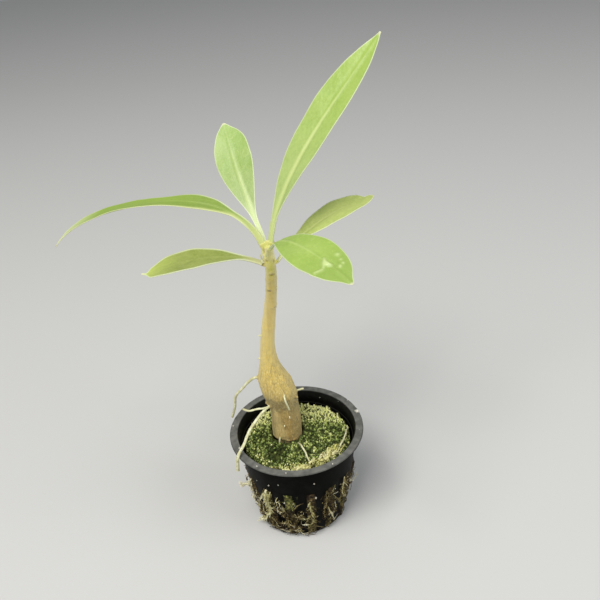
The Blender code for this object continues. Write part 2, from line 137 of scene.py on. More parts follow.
add_lamp("main_lamp", (-0.34, -0.5, 1.15), 14.5, 0.65, (1.0, 0.98, 0.95))
add_lamp("side_lamp", (0.9, -0.4, 0.7), 4.7, 0.8, (0.95, 0.97, 1.0))
sky = bpy.data.worlds.new("soft_sky")
sky.use_nodes = True
sky.node_tree.nodes["Background"].inputs["Color"].default_value = (0.93, 0.96, 1, 1)
sky.node_tree.nodes["Background"].inputs["Strength"].default_value = 0.28
bpy.context.scene.world = sky
bpy.context.scene.view_settings.view_transform = "Standard"

# %% [markdown]
# ## Working as by hand
#
# Blender's operators act on whatever is selected, so each step first says what
# that is. These short helpers deselect everything, make one piece active, pick
# faces by their place, and apply a piece's modifiers. The last one hands a
# finished piece to the model: it rides on the model's only body, and where it
# stands for a plain solid, that solid is hidden.

# %% Helpers for modelling
def deselect_all():
    if bpy.context.object and bpy.context.object.mode != "OBJECT":
        bpy.ops.object.mode_set(mode="OBJECT")
    bpy.ops.object.select_all(action="DESELECT")


def make_active(piece):
    deselect_all()
    piece.select_set(True)
    bpy.context.view_layer.objects.active = piece


def edit(piece, kind):
    """Enters edit mode on a piece, with nothing of it selected."""
    make_active(piece)
    bpy.ops.object.mode_set(mode="EDIT")
    bpy.ops.mesh.select_mode(type=kind)
    bpy.ops.mesh.select_all(action="DESELECT")


def select_faces(piece, wanted):
    """Selects the faces for which wanted(centre, normal) is true, in edit mode."""
    edit(piece, "FACE")
    bpy.ops.object.mode_set(mode="OBJECT")
    for face in piece.data.polygons:
        face.select = wanted(face.center, face.normal)
    bpy.ops.object.mode_set(mode="EDIT")


def apply_modifiers(piece):
    make_active(piece)
    for modifier in list(piece.modifiers):
        bpy.ops.object.modifier_apply(modifier=modifier.name)


def outward(piece):
    """Merges doubled points and turns every face outwards."""
    edit(piece, "VERT")
    bpy.ops.mesh.select_all(action="SELECT")
    bpy.ops.mesh.remove_doubles(threshold=0.002 * MM)
    bpy.ops.mesh.normals_make_consistent(inside=False)
    bpy.ops.object.mode_set(mode="OBJECT")


def join(pieces, name):
    """Joins pieces into the first one, which ends at the origin."""
    deselect_all()
    for piece in pieces:
        piece.select_set(True)
    bpy.context.view_layer.objects.active = pieces[0]
    if len(pieces) > 1:
        bpy.ops.object.join()
    bpy.ops.object.transform_apply(location=True, rotation=True, scale=True)
    pieces[0].name = name
    return pieces[0]


def smooth(piece):
    make_active(piece)
    bpy.ops.object.shade_smooth()


def hand_over(piece, name, slot, material, *nodes):
    """Gives a finished piece its name, material, body and place in the model."""
    piece.name = name
    piece.data.materials.clear()
    piece.data.materials.append(material)
    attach(piece, "root")
    if nodes:
        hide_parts(*nodes)
    triangles = sum(len(face.vertices) - 2 for face in piece.data.polygons)
    print(name, "has", triangles, "triangles")


print("helpers ready")

# %% [markdown]
# ## Working with materials
#
# A material here is a Principled shader with a few nodes in front of it. Adding
# nodes by hand is a click and some wires, and in code it is one helper that
# adds a node, sets it, and wires it to what feeds it.
#
# Two effects come back in several materials, so each is a node group: patches
# of a soft noise, and small round specks. A group gives only a mask, and each
# material chooses the colours.

# %% Helpers for materials
def add_node(tree, kind, feeds=None, **settings):
    """Adds a shader node. feeds maps an input's name or number to a value or a socket."""
    made = tree.nodes.new("ShaderNode" + kind)
    for key, value in settings.items():
        setattr(made, key, value)
    for socket, value in (feeds or {}).items():
        if isinstance(value, bpy.types.NodeSocket):
            tree.links.new(value, made.inputs[socket])
        else:
            made.inputs[socket].default_value = value
    return made


def new_group(name, inputs, outputs):
    """An empty node group, with what it is given and what it has to fill."""
    group = bpy.data.node_groups.new(name, "ShaderNodeTree")
    for labels, way in ((inputs, "INPUT"), (outputs, "OUTPUT")):
        for label in labels.split():
            kind = "NodeSocketVector" if label == "Vector" else "NodeSocketFloat"
            group.interface.new_socket(name=label, in_out=way, socket_type=kind)
    return group, group.nodes.new("NodeGroupInput").outputs, group.nodes.new("NodeGroupOutput").inputs


def make_material(name, roughness, specular):
    """A Principled material. Returns it with its tree, shader and Object coordinates."""
    material = bpy.data.materials.new(name)
    material.use_nodes = True
    tree = material.node_tree
    shader = tree.nodes["Principled BSDF"]
    shader.inputs["Roughness"].default_value = roughness
    shader.inputs["Specular IOR Level"].default_value = specular
    return material, tree, shader, add_node(tree, "TexCoord").outputs["Object"]


def mix(tree, mask, low, high):
    """A colour between two others, chosen by a mask."""
    low, high = ((*colour, 1) if isinstance(colour, tuple) else colour for colour in (low, high))
    return add_node(tree, "Mix", {0: mask, 6: low, 7: high}, data_type="RGBA").outputs[2]


def maths(tree, operation, *values):
    """The result of one Math node."""
    return add_node(tree, "Math", dict(enumerate(values)), operation=operation).outputs[0]


def span(tree, value, low, high, start=0.0, end=1.0):
    """start where the value is low, end where it is high, and even between."""
    feeds = {"Value": value, "From Min": low, "From Max": high, "To Min": start, "To Max": end}
    return add_node(tree, "MapRange", feeds).outputs[0]


def soft_noise(tree, vector, scale, detail=2.0):
    return add_node(tree, "TexNoise", {"Vector": vector, "Scale": scale, "Detail": detail}).outputs[0]


def layered(tree, colour, layers):
    """A colour with (mask, strength, colour) layers over it."""
    for mask, strength, layer in layers:
        colour = mix(tree, maths(tree, "MULTIPLY", mask, strength), colour, layer)
    return colour


def dress(tree, shader, colour, height, depth, strength):
    """Gives the shader its colour, and a fine relief from a height."""
    relief = add_node(tree, "Bump", {"Height": height, "Distance": depth, "Strength": strength})
    tree.links.new(relief.outputs[0], shader.inputs["Normal"])
    tree.links.new(colour, shader.inputs["Base Color"])


print("material helpers ready")

# %% Patches and specks
patches, given, result = new_group("patches", "Vector Scale Low High", "Mask")
clouds = soft_noise(patches, given["Vector"], given["Scale"], 3.0)
limits = {"Value": clouds, "From Min": given["Low"], "From Max": given["High"]}
softened = add_node(patches, "MapRange", limits, interpolation_type="SMOOTHSTEP")
patches.links.new(softened.outputs[0], result["Mask"])

specks, given, result = new_group("specks", "Vector Scale Share", "Mask")
cells = add_node(specks, "TexVoronoi", {"Vector": given["Vector"], "Scale": given["Scale"]}).outputs
near = maths(specks, "LESS_THAN", cells["Distance"], 0.3)
chosen = add_node(specks, "SeparateColor", {"Color": cells["Color"]}).outputs[0]
rare = maths(specks, "LESS_THAN", chosen, given["Share"])
specks.links.new(maths(specks, "MULTIPLY", near, rare), result["Mask"])


def patch_mask(tree, vector, scale, low=0.4, high=0.6):
    feeds = {"Vector": vector, "Scale": scale, "Low": low, "High": high}
    return add_node(tree, "Group", feeds, node_tree=patches).outputs[0]


def speck_mask(tree, vector, scale, share):
    feeds = {"Vector": vector, "Scale": scale, "Share": share}
    return add_node(tree, "Group", feeds, node_tree=specks).outputs[0]


print("node groups:", [group.name for group in bpy.data.node_groups])

# %% [markdown]
# ## The pot
#
# A net pot is one thin moulding: a flat floor, a wall that widens upwards, a
# solid band below the rim, and a flat lip. Its profile is the same all the way
# round, so a spin would do. Growing it ring by ring is easier to follow: a
# filled circle is the underside, and each new ring is extruded, lifted and
# scaled, first up the outside, over the lip and then down the inside.
#
# The inside has a small ledge a few millimetres down, where the next pot of a
# stack rests.

# %% Grow the pot ring by ring
_, pot_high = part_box("pot")
POT_HEIGHT = pot_high.z
LIP_RADIUS = pot_high.x
POT_SIDES = 150
LIP_THICKNESS = 0.9 * MM
LIP_EDGE = 0.3 * MM
MOUTH_RADIUS = 24.2 * MM
WALL = 1.1 * MM
FLOOR = 1.2 * MM
SHOULDER = POT_HEIGHT - 15.5 * MM      # top of the slots
SHOULDER_RADIUS = 22.9 * MM
FOOT_RADIUS = 17.8 * MM
FOOT_CHAMFER = 0.8 * MM
INNER_FOOT_RADIUS = 16.0 * MM
FILLET_TOP = 2.6 * MM
LEDGE = POT_HEIGHT - 5.3 * MM
LEDGE_WIDTH = 0.25 * MM


def wall_radius(z):
    """The wall's outer radius at height z."""
    if z > SHOULDER:
        share = (z - SHOULDER) / (POT_HEIGHT - SHOULDER)
        return SHOULDER_RADIUS + (MOUTH_RADIUS + 0.3 * WALL - SHOULDER_RADIUS) * share
    return FOOT_RADIUS + (SHOULDER_RADIUS - FOOT_RADIUS) * z / SHOULDER


def grow_rings(rings):
    """Extrudes the selected ring of edges through (radius, height, x, y) rings."""
    for before, after in zip(rings, rings[1:]):
        step = [after[2] - before[2], after[3] - before[3], after[1] - before[1]]
        bpy.ops.mesh.extrude_edges_move(TRANSFORM_OT_translate={"value": step})
        scale = after[0] / before[0]
        bpy.ops.transform.resize(value=(scale, scale, 1), center_override=(after[2], after[3], 0))


def start_ring(ring, sides, fill):
    """Adds a circle for the first ring and selects its edge in edit mode."""
    deselect_all()
    bpy.ops.mesh.primitive_circle_add(
        vertices=sides, radius=ring[0], fill_type=fill, location=(ring[2], ring[3], ring[1]))
    bpy.ops.object.transform_apply(location=True, rotation=True, scale=True)
    bpy.ops.object.mode_set(mode="EDIT")
    bpy.ops.mesh.select_mode(type="EDGE")
    bpy.ops.mesh.select_all(action="SELECT")
    return bpy.context.object


def grow_solid(rings, sides):
    """A closed body through the rings, with its faces turned outwards."""
    solid = start_ring(rings[0], sides, "NGON")
    grow_rings(rings)
    bpy.ops.mesh.edge_face_add()
    outward(solid)
    return solid


neck = POT_HEIGHT - LIP_THICKNESS
profile = [
    (FOOT_RADIUS - FOOT_CHAMFER, 0), (wall_radius(FOOT_CHAMFER), FOOT_CHAMFER),
    (SHOULDER_RADIUS, SHOULDER), (wall_radius(SHOULDER + MM), SHOULDER + MM),
    (wall_radius(neck), neck - 2 * LIP_EDGE),
    (wall_radius(neck) + 2 * LIP_EDGE, neck), (LIP_RADIUS - LIP_EDGE, neck),
    (LIP_RADIUS, neck + LIP_EDGE), (LIP_RADIUS, POT_HEIGHT - LIP_EDGE),
    (LIP_RADIUS - LIP_EDGE, POT_HEIGHT), (MOUTH_RADIUS + LIP_EDGE, POT_HEIGHT),
    (MOUTH_RADIUS, POT_HEIGHT - LIP_EDGE), (wall_radius(LEDGE) - WALL + LEDGE_WIDTH, LEDGE + 0.1 * MM),
    (wall_radius(LEDGE) - WALL, LEDGE), (SHOULDER_RADIUS - WALL, SHOULDER),
    (wall_radius(FILLET_TOP) - WALL, FILLET_TOP), (INNER_FOOT_RADIUS, FLOOR),
]
pot = grow_solid([(radius, height, 0, 0) for radius, height in profile], POT_SIDES)
print("pot rings:", len(profile))

# %% [markdown]
# ## The slots
#
# The slots run down the wall and turn in under the floor. One cutter is a box
# that reaches through the wall, with its inner end drawn in to a narrow tongue.
# Turned copies of it are cut from the pot with one Boolean, and a narrow bevel
# then takes the sharpness off every edge, as a mould does.

# %% Cut the slots
SLOTS = 15
SLOT_PHASE = math.radians(-80.7)
SLOT_WIDTH = 3.8 * MM
TONGUE_END = 11.5 * MM
TONGUE_WIDTH = 2.2 * MM
MOULD_ROUNDING = 0.14 * MM


def slot_angle(index):
    return SLOT_PHASE + 2 * math.pi * index / SLOTS


def turned_copies(piece, angles):
    """Copies a piece to each angle round the Z axis, each copy with its own mesh."""
    copies = []
    for angle in angles:
        copy = piece.copy()
        copy.data = piece.data.copy()
        copy.data.transform(Matrix.Rotation(angle, 4, "Z"))
        bpy.context.scene.collection.objects.link(copy)
        copies.append(copy)
    bpy.data.objects.remove(piece)
    return copies


def cut(piece, cutter):
    """Cuts one piece from another and removes the cutter."""
    boolean = piece.modifiers.new("Cut", "BOOLEAN")
    boolean.operation = "DIFFERENCE"
    boolean.solver = "EXACT"
    boolean.object = cutter
    apply_modifiers(piece)
    bpy.data.objects.remove(cutter)


slot_start = FOOT_RADIUS - WALL
slot_end = LIP_RADIUS
deselect_all()
bpy.ops.mesh.primitive_cube_add(
    size=1, location=((slot_start + slot_end) / 2, 0, (SHOULDER - MM) / 2),
    scale=(slot_end - slot_start, SLOT_WIDTH, SHOULDER + MM))
cutter = join([bpy.context.object], "slot_cutter")
select_faces(cutter, lambda centre, normal: normal.x < -0.9)
bpy.ops.mesh.extrude_region_move(TRANSFORM_OT_translate={"value": (TONGUE_END - slot_start, 0, 0)})
bpy.ops.transform.resize(value=(1, TONGUE_WIDTH / SLOT_WIDTH, 1), center_override=(TONGUE_END, 0, 0))
bpy.ops.object.mode_set(mode="OBJECT")
cut(pot, join(turned_copies(cutter, [slot_angle(i) for i in range(SLOTS)]), "slot_cutters"))
rounding = pot.modifiers.new("Mould rounding", "BEVEL")
rounding.width = MOULD_ROUNDING
rounding.segments = 2
rounding.limit_method = "ANGLE"
rounding.angle_limit = math.radians(50)
apply_modifiers(pot)
make_active(pot)
bpy.ops.object.shade_smooth_by_angle(angle=math.radians(35))
even = pot.modifiers.new("Even shading", "WEIGHTED_NORMAL")
even.keep_sharp = True
apply_modifiers(pot)
print("slots:", SLOTS)

# %% [markdown]
# ## Black plastic with dust
#
# The moulding is satin black. Dust and dried hard water lie on what faces up,
# so the lip looks grey while the wall stays black. The surface's own normal
# tells what faces up, and patches of noise break the dust up. A few specks of
# grit sit in it. Dust is also rougher than the plastic below it.

# %% The pot's material
plastic, tree, shader, place = make_material("black_plastic", 0.4, 0.02)
normal = add_node(tree, "NewGeometry").outputs["Normal"]
up_facing = span(tree, add_node(tree, "SeparateXYZ", {0: normal}).outputs["Z"], 0.2, 0.95)
film = span(tree, patch_mask(tree, place, 420, 0.25, 0.75), 0.0, 1.0, 0.55)
on_lip = span(tree, add_node(tree, "SeparateXYZ", {0: place}).outputs["Z"], 39.5 * MM, 41.5 * MM, 0.12)
dust = maths(tree, "MULTIPLY", maths(tree, "MULTIPLY", up_facing, film), on_lip)
haze = maths(tree, "MULTIPLY", patch_mask(tree, place, 160, 0.45, 0.8), 0.03)
dusty = maths(tree, "MAXIMUM", dust, haze)
colour = mix(tree, dusty, (0.003, 0.003, 0.0026), (0.185, 0.185, 0.168))
colour = mix(tree, speck_mask(tree, place, 900, 0.01), colour, (0.4, 0.4, 0.36))
tree.links.new(span(tree, dusty, 0.0, 1.0, 0.42, 0.8), shader.inputs["Roughness"])
dress(tree, shader, colour, soft_noise(tree, place, 1500.0), 0.06 * MM, 0.6)
hand_over(pot, "net_pot", "pot_plastic", plastic, "pot")

# %% [markdown]
# ## The root medium
#
# The pot is packed with dead bog moss. Most of it is hidden, so its core is a
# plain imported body, grown ring by ring like the pot. A hole is cut where the
# buried end of the stem stands, and noise presses the wall in here and there.
#
# The stem's own sizes are needed for that hole. They are a short list of
# stations, each with a height, a sideways place and a diameter, and a smooth
# curve through them gives the stem's centre and radius at any height.

# %% The stem's stations
STEM_Y = 3.7 * MM
# Each station's height, sideways place and diameter in millimetres.
STEM_STATIONS = (
    (14.0, -3.2, 3.0), (24.0, -3.3, 8.0), (35.0, -3.8, 11.8), (40.0, -3.8, 12.5), (46.0, -3.7, 12.1),
    (53.5, -4.2, 12.1), (58.0, -5.1, 13.4), (62.5, -6.1, 13.8), (67.0, -7.0, 12.5), (71.0, -7.8, 10.1),
    (76.0, -8.1, 7.4), (83.0, -8.0, 5.8), (94.0, -6.4, 5.2), (104.0, -4.6, 4.5), (113.0, -3.7, 4.3),
    (119.0, -3.5, 4.0), (123.0, -3.9, 4.3), (125.4, -4.0, 3.2),
)


def clamp(value, low=0.0, high=1.0):
    return min(max(value, low), high)


def spline(points, t):
    """A smooth curve through the points, at t from 0 to the last index."""
    last = len(points) - 1
    i = min(int(t), last - 1)
    u = t - i
    before, here, after, beyond = (points[clamp(k, 0, last)] for k in range(i - 1, i + 3))
    return 0.5 * (2 * here + (after - before) * u
                  + (2 * before - 5 * here + 4 * after - beyond) * u ** 2
                  + (3 * here - before - 3 * after + beyond) * u ** 3)


def stem_at(z):
    """The stem's radius, height and centre at height z, as a ring."""
    stations = [Vector(station) * MM for station in STEM_STATIONS]
    i = 0
    while i < len(stations) - 2 and stations[i + 1].x < z:
        i += 1
    share = (z - stations[i].x) / (stations[i + 1].x - stations[i].x)
    station = spline(stations, i + clamp(share))
    return station.z / 2, z, station.y, STEM_Y


print("caudex radius:", round(stem_at(60 * MM)[0] / MM, 2), "mm")

# %% Pack the core
GAP = 0.3 * MM
MEDIUM_TOP = 33.0 * MM
CORE_SIDES = 120
CORE_RELIEF = 0.6 * MM
HOLE_SIDES = 32
HOLE_CLEARANCE = 0.5 * MM


def spread(low, high, count):
    """Evenly spaced values from low to high."""
    return [low + (high - low) * i / (count - 1) for i in range(count)]


core_rings = [(INNER_FOOT_RADIUS - 2 * GAP, FLOOR + GAP, 0, 0)]
for height in spread(FILLET_TOP + 2 * GAP, MEDIUM_TOP, 26):
    core_rings.append((wall_radius(height) - WALL - GAP, height, 0, 0))
core_rings += [(radius, MEDIUM_TOP, 0, 0) for radius in (19 * MM, 14 * MM, 9 * MM)]
core = grow_solid(core_rings, CORE_SIDES)
hole_rings = [stem_at(height) for height in spread(STEM_STATIONS[0][0] * MM, MEDIUM_TOP + MM, 8)]
hole_rings = [(r + HOLE_CLEARANCE, z - 2 * GAP, x, y) for r, z, x, y in hole_rings]
cut(core, grow_solid(hole_rings, HOLE_SIDES))
for point in core.data.vertices:
    lump = noise.turbulence(point.co / (2.2 * MM), 3, False)
    radius = math.hypot(point.co.x, point.co.y)
    if radius > 15 * MM:
        inward = CORE_RELIEF * clamp(lump)
        point.co.x -= inward * point.co.x / radius
        point.co.y -= inward * point.co.y / radius
print("core points:", len(core.data.vertices))

# %% [markdown]
# ## The moss that swells out of the slots
#
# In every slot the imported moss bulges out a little, as a ragged pad. One pad is
# a fine grid whose border is extruded back and closed. It is copied to each
# slot, and each copy is bent to the wall there and roughened by noise, which is
# read at the pad's real place, so no two pads look alike.
#
# Colour changes from strand to strand, which no pattern in space can follow. So
# each point also stores a tone, from 0 for dark wet brown to 1 for pale straw,
# and a separate share of green.

# %% Fill the slots
PAD_COLUMNS, PAD_ROWS = 12, 80
PAD_ROOT = FOOT_RADIUS - 0.9 * WALL
PAD_SWELL = 1.0 * MM
PAD_BOTTOM, PAD_TOP = 0.4 * MM, SHOULDER - 0.15 * MM
PAD_HALF = SLOT_WIDTH / 2 - 0.12 * MM
GREEN_SLOT = math.radians(-104.7)      # fresh growth shows at the top of this slot


def smooth_step(x):
    """0 below 0, 1 above 1, and a soft rise between."""
    x = clamp(x)
    return x * x * (3 - 2 * x)


def bell(x):
    """1 at 0, falling softly to both sides."""
    return math.exp(-x ** 2)


def rough(place, size):
    """Noise whose lumps have a size in millimetres."""
    return noise.noise(place / (size * MM))


def store(piece, name, values):
    """Stores one number for each point of a piece."""
    made = piece.data.attributes.new(name, "FLOAT", "POINT")
    made.data.foreach_set("value", np.asarray(values, np.float32))


def places_of(piece):
    return [point.co.copy() for point in piece.data.vertices]


def patch_of_green(point):
    """How green the bog moss is at a point of the pot's outside."""
    angle = math.atan2(point.y, point.x)
    away = abs(math.remainder(angle - GREEN_SLOT, 2 * math.pi)) / 0.16
    fresh = bell(away) * smooth_step((point.z - 16 * MM) / (6 * MM))
    fresh *= 0.8 + 0.9 * rough(point, 1.4)
    return min(1.0, fresh + 0.9 * max(rough(point, 7) - 0.12, 0.0))


deselect_all()
bpy.ops.mesh.primitive_grid_add(x_subdivisions=PAD_COLUMNS, y_subdivisions=PAD_ROWS, size=2)
pad = bpy.context.object
edit(pad, "EDGE")
bpy.ops.mesh.select_non_manifold()
bpy.ops.mesh.extrude_edges_move(TRANSFORM_OT_translate={"value": (0, 0, -1)})
bpy.ops.mesh.edge_face_add()
outward(pad)
pads = turned_copies(pad, [0] * SLOTS)
for index, copy in enumerate(pads):
    turn = Matrix.Rotation(slot_angle(index), 3, "Z")
    for point in copy.data.vertices:
        across, share, front = point.co.x, (point.co.y + 1) / 2, point.co.z > -0.5
        height = PAD_BOTTOM + (PAD_TOP - PAD_BOTTOM) * share
        there = turn @ Vector((wall_radius(height), PAD_HALF * across, height))
        edge = (1 - abs(across) ** 4) * (1 - abs(2 * share - 1) ** 14)
        clump = 0.5 + 1.1 * rough(there, 2.6)
        strands = rough(Vector((there.x, there.y, 0.35 * there.z)), 0.55)
        swell = edge * PAD_SWELL * (0.3 + 0.6 * clump + 0.35 * strands) - 0.25 * MM * (1 - edge)
        point.co = (wall_radius(height) + swell if front else PAD_ROOT, PAD_HALF * across, height)
    copy.data.transform(turn.to_4x4())
medium = join([core] + pads, "packed_moss")
places = places_of(medium)
store(medium, "tone", [0.2 + 0.55 * rough(p, 0.9) + 0.35 * rough(p, 4) for p in places])
store(medium, "green", [patch_of_green(p) for p in places])
smooth(medium)
print("pads:", len(pads))

# %% [markdown]
# ## Shapes that repeat
#
# Moss is made of hundreds of small shoots. One shoot is modelled from a few
# cones with three sides, squeezed flat like scales. Hundreds of separate
# objects would be slow, so copies are made by numbers instead: every point of
# the modelled shoot is moved by each copy's own matrix, and all copies land in
# one mesh. Each copy carries its own tone, and each point remembers how near
# the shoot's tip it is, so that tips can be paler.

# %% Helpers for what repeats
def turn_to(direction):
    """A matrix that turns a shape's Z axis to a direction."""
    return direction.to_track_quat("Z", "Y").to_matrix().to_4x4()


def add_cone(base, tip, base_radius, tip_radius, sides=16, flat=1.0):
    """A cone or tapered stub between two places, squeezed flat if wanted."""
    base, tip = Vector(base), Vector(tip)
    bpy.ops.mesh.primitive_cone_add(
        vertices=sides, radius1=base_radius, radius2=tip_radius, depth=(tip - base).length)
    cone = bpy.context.object
    squeeze = Matrix.Diagonal((1, flat, 1, 1))
    cone.data.transform(Matrix.Translation((base + tip) / 2) @ turn_to(tip - base) @ squeeze)
    return cone


def as_pattern(pieces):
    """Joins the pieces of a shape and keeps its points, triangles and tip shares."""
    shape = join(pieces, "pattern")
    edit(shape, "FACE")
    bpy.ops.mesh.select_all(action="SELECT")
    bpy.ops.mesh.quads_convert_to_tris()
    bpy.ops.object.mode_set(mode="OBJECT")
    points = np.array([point.co for point in shape.data.vertices])
    triangles = np.array([list(face.vertices) for face in shape.data.polygons])
    bpy.data.objects.remove(shape)
    tips = points[:, 2] / points[:, 2].max()
    return points, triangles, np.clip(tips, 0, 1)


def scatter(name, patterns, copies):
    """One mesh of many copies. Each copy is (pattern number, matrix, tone, green)."""
    points, triangles, facts = [], [], {"tone": [], "green": [], "tip": []}
    count = 0
    for which, matrix, tone, green in copies:
        shape, faces, tips = patterns[which]
        placed = np.array(matrix)
        points.append(shape @ placed[:3, :3].T + placed[:3, 3])
        triangles.append(faces + count)
        for key, value in (("tone", tone), ("green", green), ("tip", tips)):
            facts[key].append(value * np.ones(len(shape)))
        count += len(shape)
    mesh = bpy.data.meshes.new(name)
    mesh.from_pydata(np.concatenate(points).tolist(), [], np.concatenate(triangles).tolist())
    piece = bpy.data.objects.new(name, mesh)
    bpy.context.scene.collection.objects.link(piece)
    for key, values in facts.items():
        store(piece, key, np.concatenate(values))
    return piece


def stand(place, direction, size, spin):
    """A matrix that stands a shape at a place, along a direction."""
    turned = Matrix.Translation(place) @ turn_to(direction) @ Matrix.Rotation(spin, 4, "Z")
    return turned @ Matrix.Scale(size, 4)


print("copy helpers ready")

# %% Model the shoots of dead moss
def leaning(turn, lean):
    """A direction that leans away from upright, towards a turn."""
    return Vector((math.cos(turn) * math.sin(lean), math.sin(turn) * math.sin(lean), math.cos(lean)))


GOLDEN_TURN = math.radians(137.5)
STALK_WIDTH = 0.28 * MM
SCALE_THICKNESS = 0.09 * MM


def leafy_shoot(height, scales, length, width, lean_low, lean_high, bend):
    """A stem with flat scales in a spiral, which lean out less towards the tip."""
    pieces = [add_cone((0, 0, 0), (bend, 0, height), STALK_WIDTH / 2, 0, 3)]
    for i in range(scales):
        share = 0.25 + 0.75 * i / (scales - 1)
        lean = math.radians(lean_low + (lean_high - lean_low) * share)
        base = Vector((bend * share, 0, height * share * 0.92))
        tip = base + leaning(i * GOLDEN_TURN, lean) * length
        pieces.append(add_cone(base, tip, width / 2, 0, 3, SCALE_THICKNESS / width))
    return as_pattern(pieces)


dead_patterns = [
    leafy_shoot(4.2 * MM, 11, 1.0 * MM, 0.42 * MM, 70, 25, 0.9 * MM),
    leafy_shoot(2.4 * MM, 9, 1.3 * MM, 0.34 * MM, 60, 20, -0.5 * MM),
    as_pattern([add_cone((0, 0, 0), (0.7 * MM, 0, 4.8 * MM), 0.25 * MM, 0, 3, 0.6)]),
]
print("triangles in the dead moss patterns:", [len(pattern[1]) for pattern in dead_patterns])

# %% [markdown]
# ## Loose bog moss round the pot
#
# Single strands of the dead moss poke out of the slots, mostly upwards or
# downwards along the wall. On one side of the pot they also mat over the ribs
# near the floor. Each copy starts just inside the wall, follows it, and leans
# out a little. A fixed seed gives the same strands on every run.
#
# The strands and clumps that catch the eye in the photograph are given as two tables of numbers.

# %% The strands and clumps that stand out
# The strands that show best in front: diameter (millimetres), tone, green, small
# shoots for each millimetre, and a route of angle (degrees), height and distance
# out from the wall (millimetres), from the slot outwards.
HANGING = (
    (1.4, 1.15, 0.0, 10, ((-150, 23.5, -0.6), (-156, 23.2, 1.2), (-161, 22.2, 2.6), (-162, 22.2, 4.0),
                         (-162, 22.8, 5.0))),
    (1.0, 1.0, 0.1, 9, ((-153, 27.5, -0.4), (-156, 24.5, 1.1), (-157, 21.5, 1.1), (-158, 18.0, 1.0),
                        (-158, 15.0, 1.0))),
    (0.5, 0.95, 0.0, 2, ((-164, 13.8, 2.6), (-160, 13.6, 2.0), (-157, 11.5, 1.6), (-153, 9.8, 1.2),
                         (-148, 15.5, 1.0), (-138, 20.5, 0.9))),
    (0.8, 0.8, 0.0, 4, ((-156, 9.6, 1.2), (-154, 7.2, 1.1), (-152, 5.5, 1.0), (-150, 3.4, 1.0))),
    (1.7, 1.0, 0.35, 9, ((-128, 28.0, -0.5), (-129, 26.5, 0.8), (-129, 24.0, 1.1), (-129.5, 21.0, 1.1),
                         (-129, 18.5, 1.0), (-128, 15.5, 1.1), (-133, 11.5, 1.2), (-142, 6.5, 1.6),
                         (-150, 3.4, 2.6))),
    (0.7, 0.8, 0.6, 6, ((-123, 28.0, -0.3), (-124, 26.0, 0.9), (-127, 22.8, 1.0))),
    (0.6, 0.85, 0.0, 2, ((-116, 25.5, -0.3), (-118, 23.4, 0.8), (-115, 22.8, 0.9), (-114, 21.3, 0.9),
                         (-118, 18.6, 0.9), (-119, 16.8, 0.9), (-115, 16.4, 0.9), (-111, 18.0, 0.8))),
    (0.7, 0.65, 0.0, 4, ((-134, 9.2, 0.8), (-129, 7.8, 1.0), (-124, 7.0, 1.0), (-118, 7.8, 1.0),
                         (-113, 9.2, 0.9), (-109, 12.0, 0.6))),
    (0.8, 0.6, 0.1, 5, ((-108, 15.7, 0.2), (-108.5, 12.5, 0.9), (-109.5, 9.0, 1.0), (-108.5, 5.5, 1.0),
                        (-108, 2.2, 1.0))),
    (0.6, 0.65, 0.0, 4, ((-100, 15.2, 0.3), (-97, 13.9, 0.9), (-95, 14.6, 0.9), (-91, 15.6, 0.8))),
    (0.9, 0.75, 0.5, 5, ((-82, 26.7, -0.3), (-83, 22.8, 0.8), (-82.5, 19.5, 1.0), (-81, 16.0, 1.0),
                         (-83, 13.9, 1.0), (-88, 12.3, 1.0), (-91, 13.0, 0.8))),
    (0.6, 0.7, 0.5, 4, ((-88, 8.5, 0.6), (-84, 8.2, 1.0), (-80, 9.5, 1.0), (-78, 12.8, 0.9))),
    (0.6, 0.5, 0.0, 7, ((-62, 28.0, -0.4), (-64.5, 25.0, 0.3), (-64, 19.5, 0.5), (-66, 14.5, 0.4),
                        (-65, 9.0, 0.5))),
    (0.9, 0.9, 0.0, 2, ((-61, 15.6, 0.4), (-60, 13.5, 1.0), (-57, 10.8, 1.1), (-54, 8.0, 1.0),
                        (-52, 6.0, 0.9))),
    (1.0, 0.75, 0.1, 6, ((-38, 28.0, -0.4), (-42, 26.6, 0.8), (-43.5, 24.0, 0.9), (-42.5, 20.5, 0.9),
                         (-40, 17.5, 0.9), (-36, 15.2, 0.8))),
    (0.5, 0.95, 0.0, 1, ((-33, 26.0, 0.3), (-30, 22.8, 1.0), (-22, 19.6, 1.4), (-17, 19.0, 2.2),
                         (-15, 20.4, 2.8))),
    (0.7, 0.6, 0.1, 5, ((-42, 17.2, 0.6), (-46, 16.2, 0.9), (-49.5, 18.2, 0.8), (-51.5, 19.6, 0.6))),
    (0.5, 0.8, 0.2, 3, ((-52, 17.2, 0.4), (-51.5, 14.4, 0.9), (-50, 11.6, 0.9), (-53, 10.4, 0.8))),
)
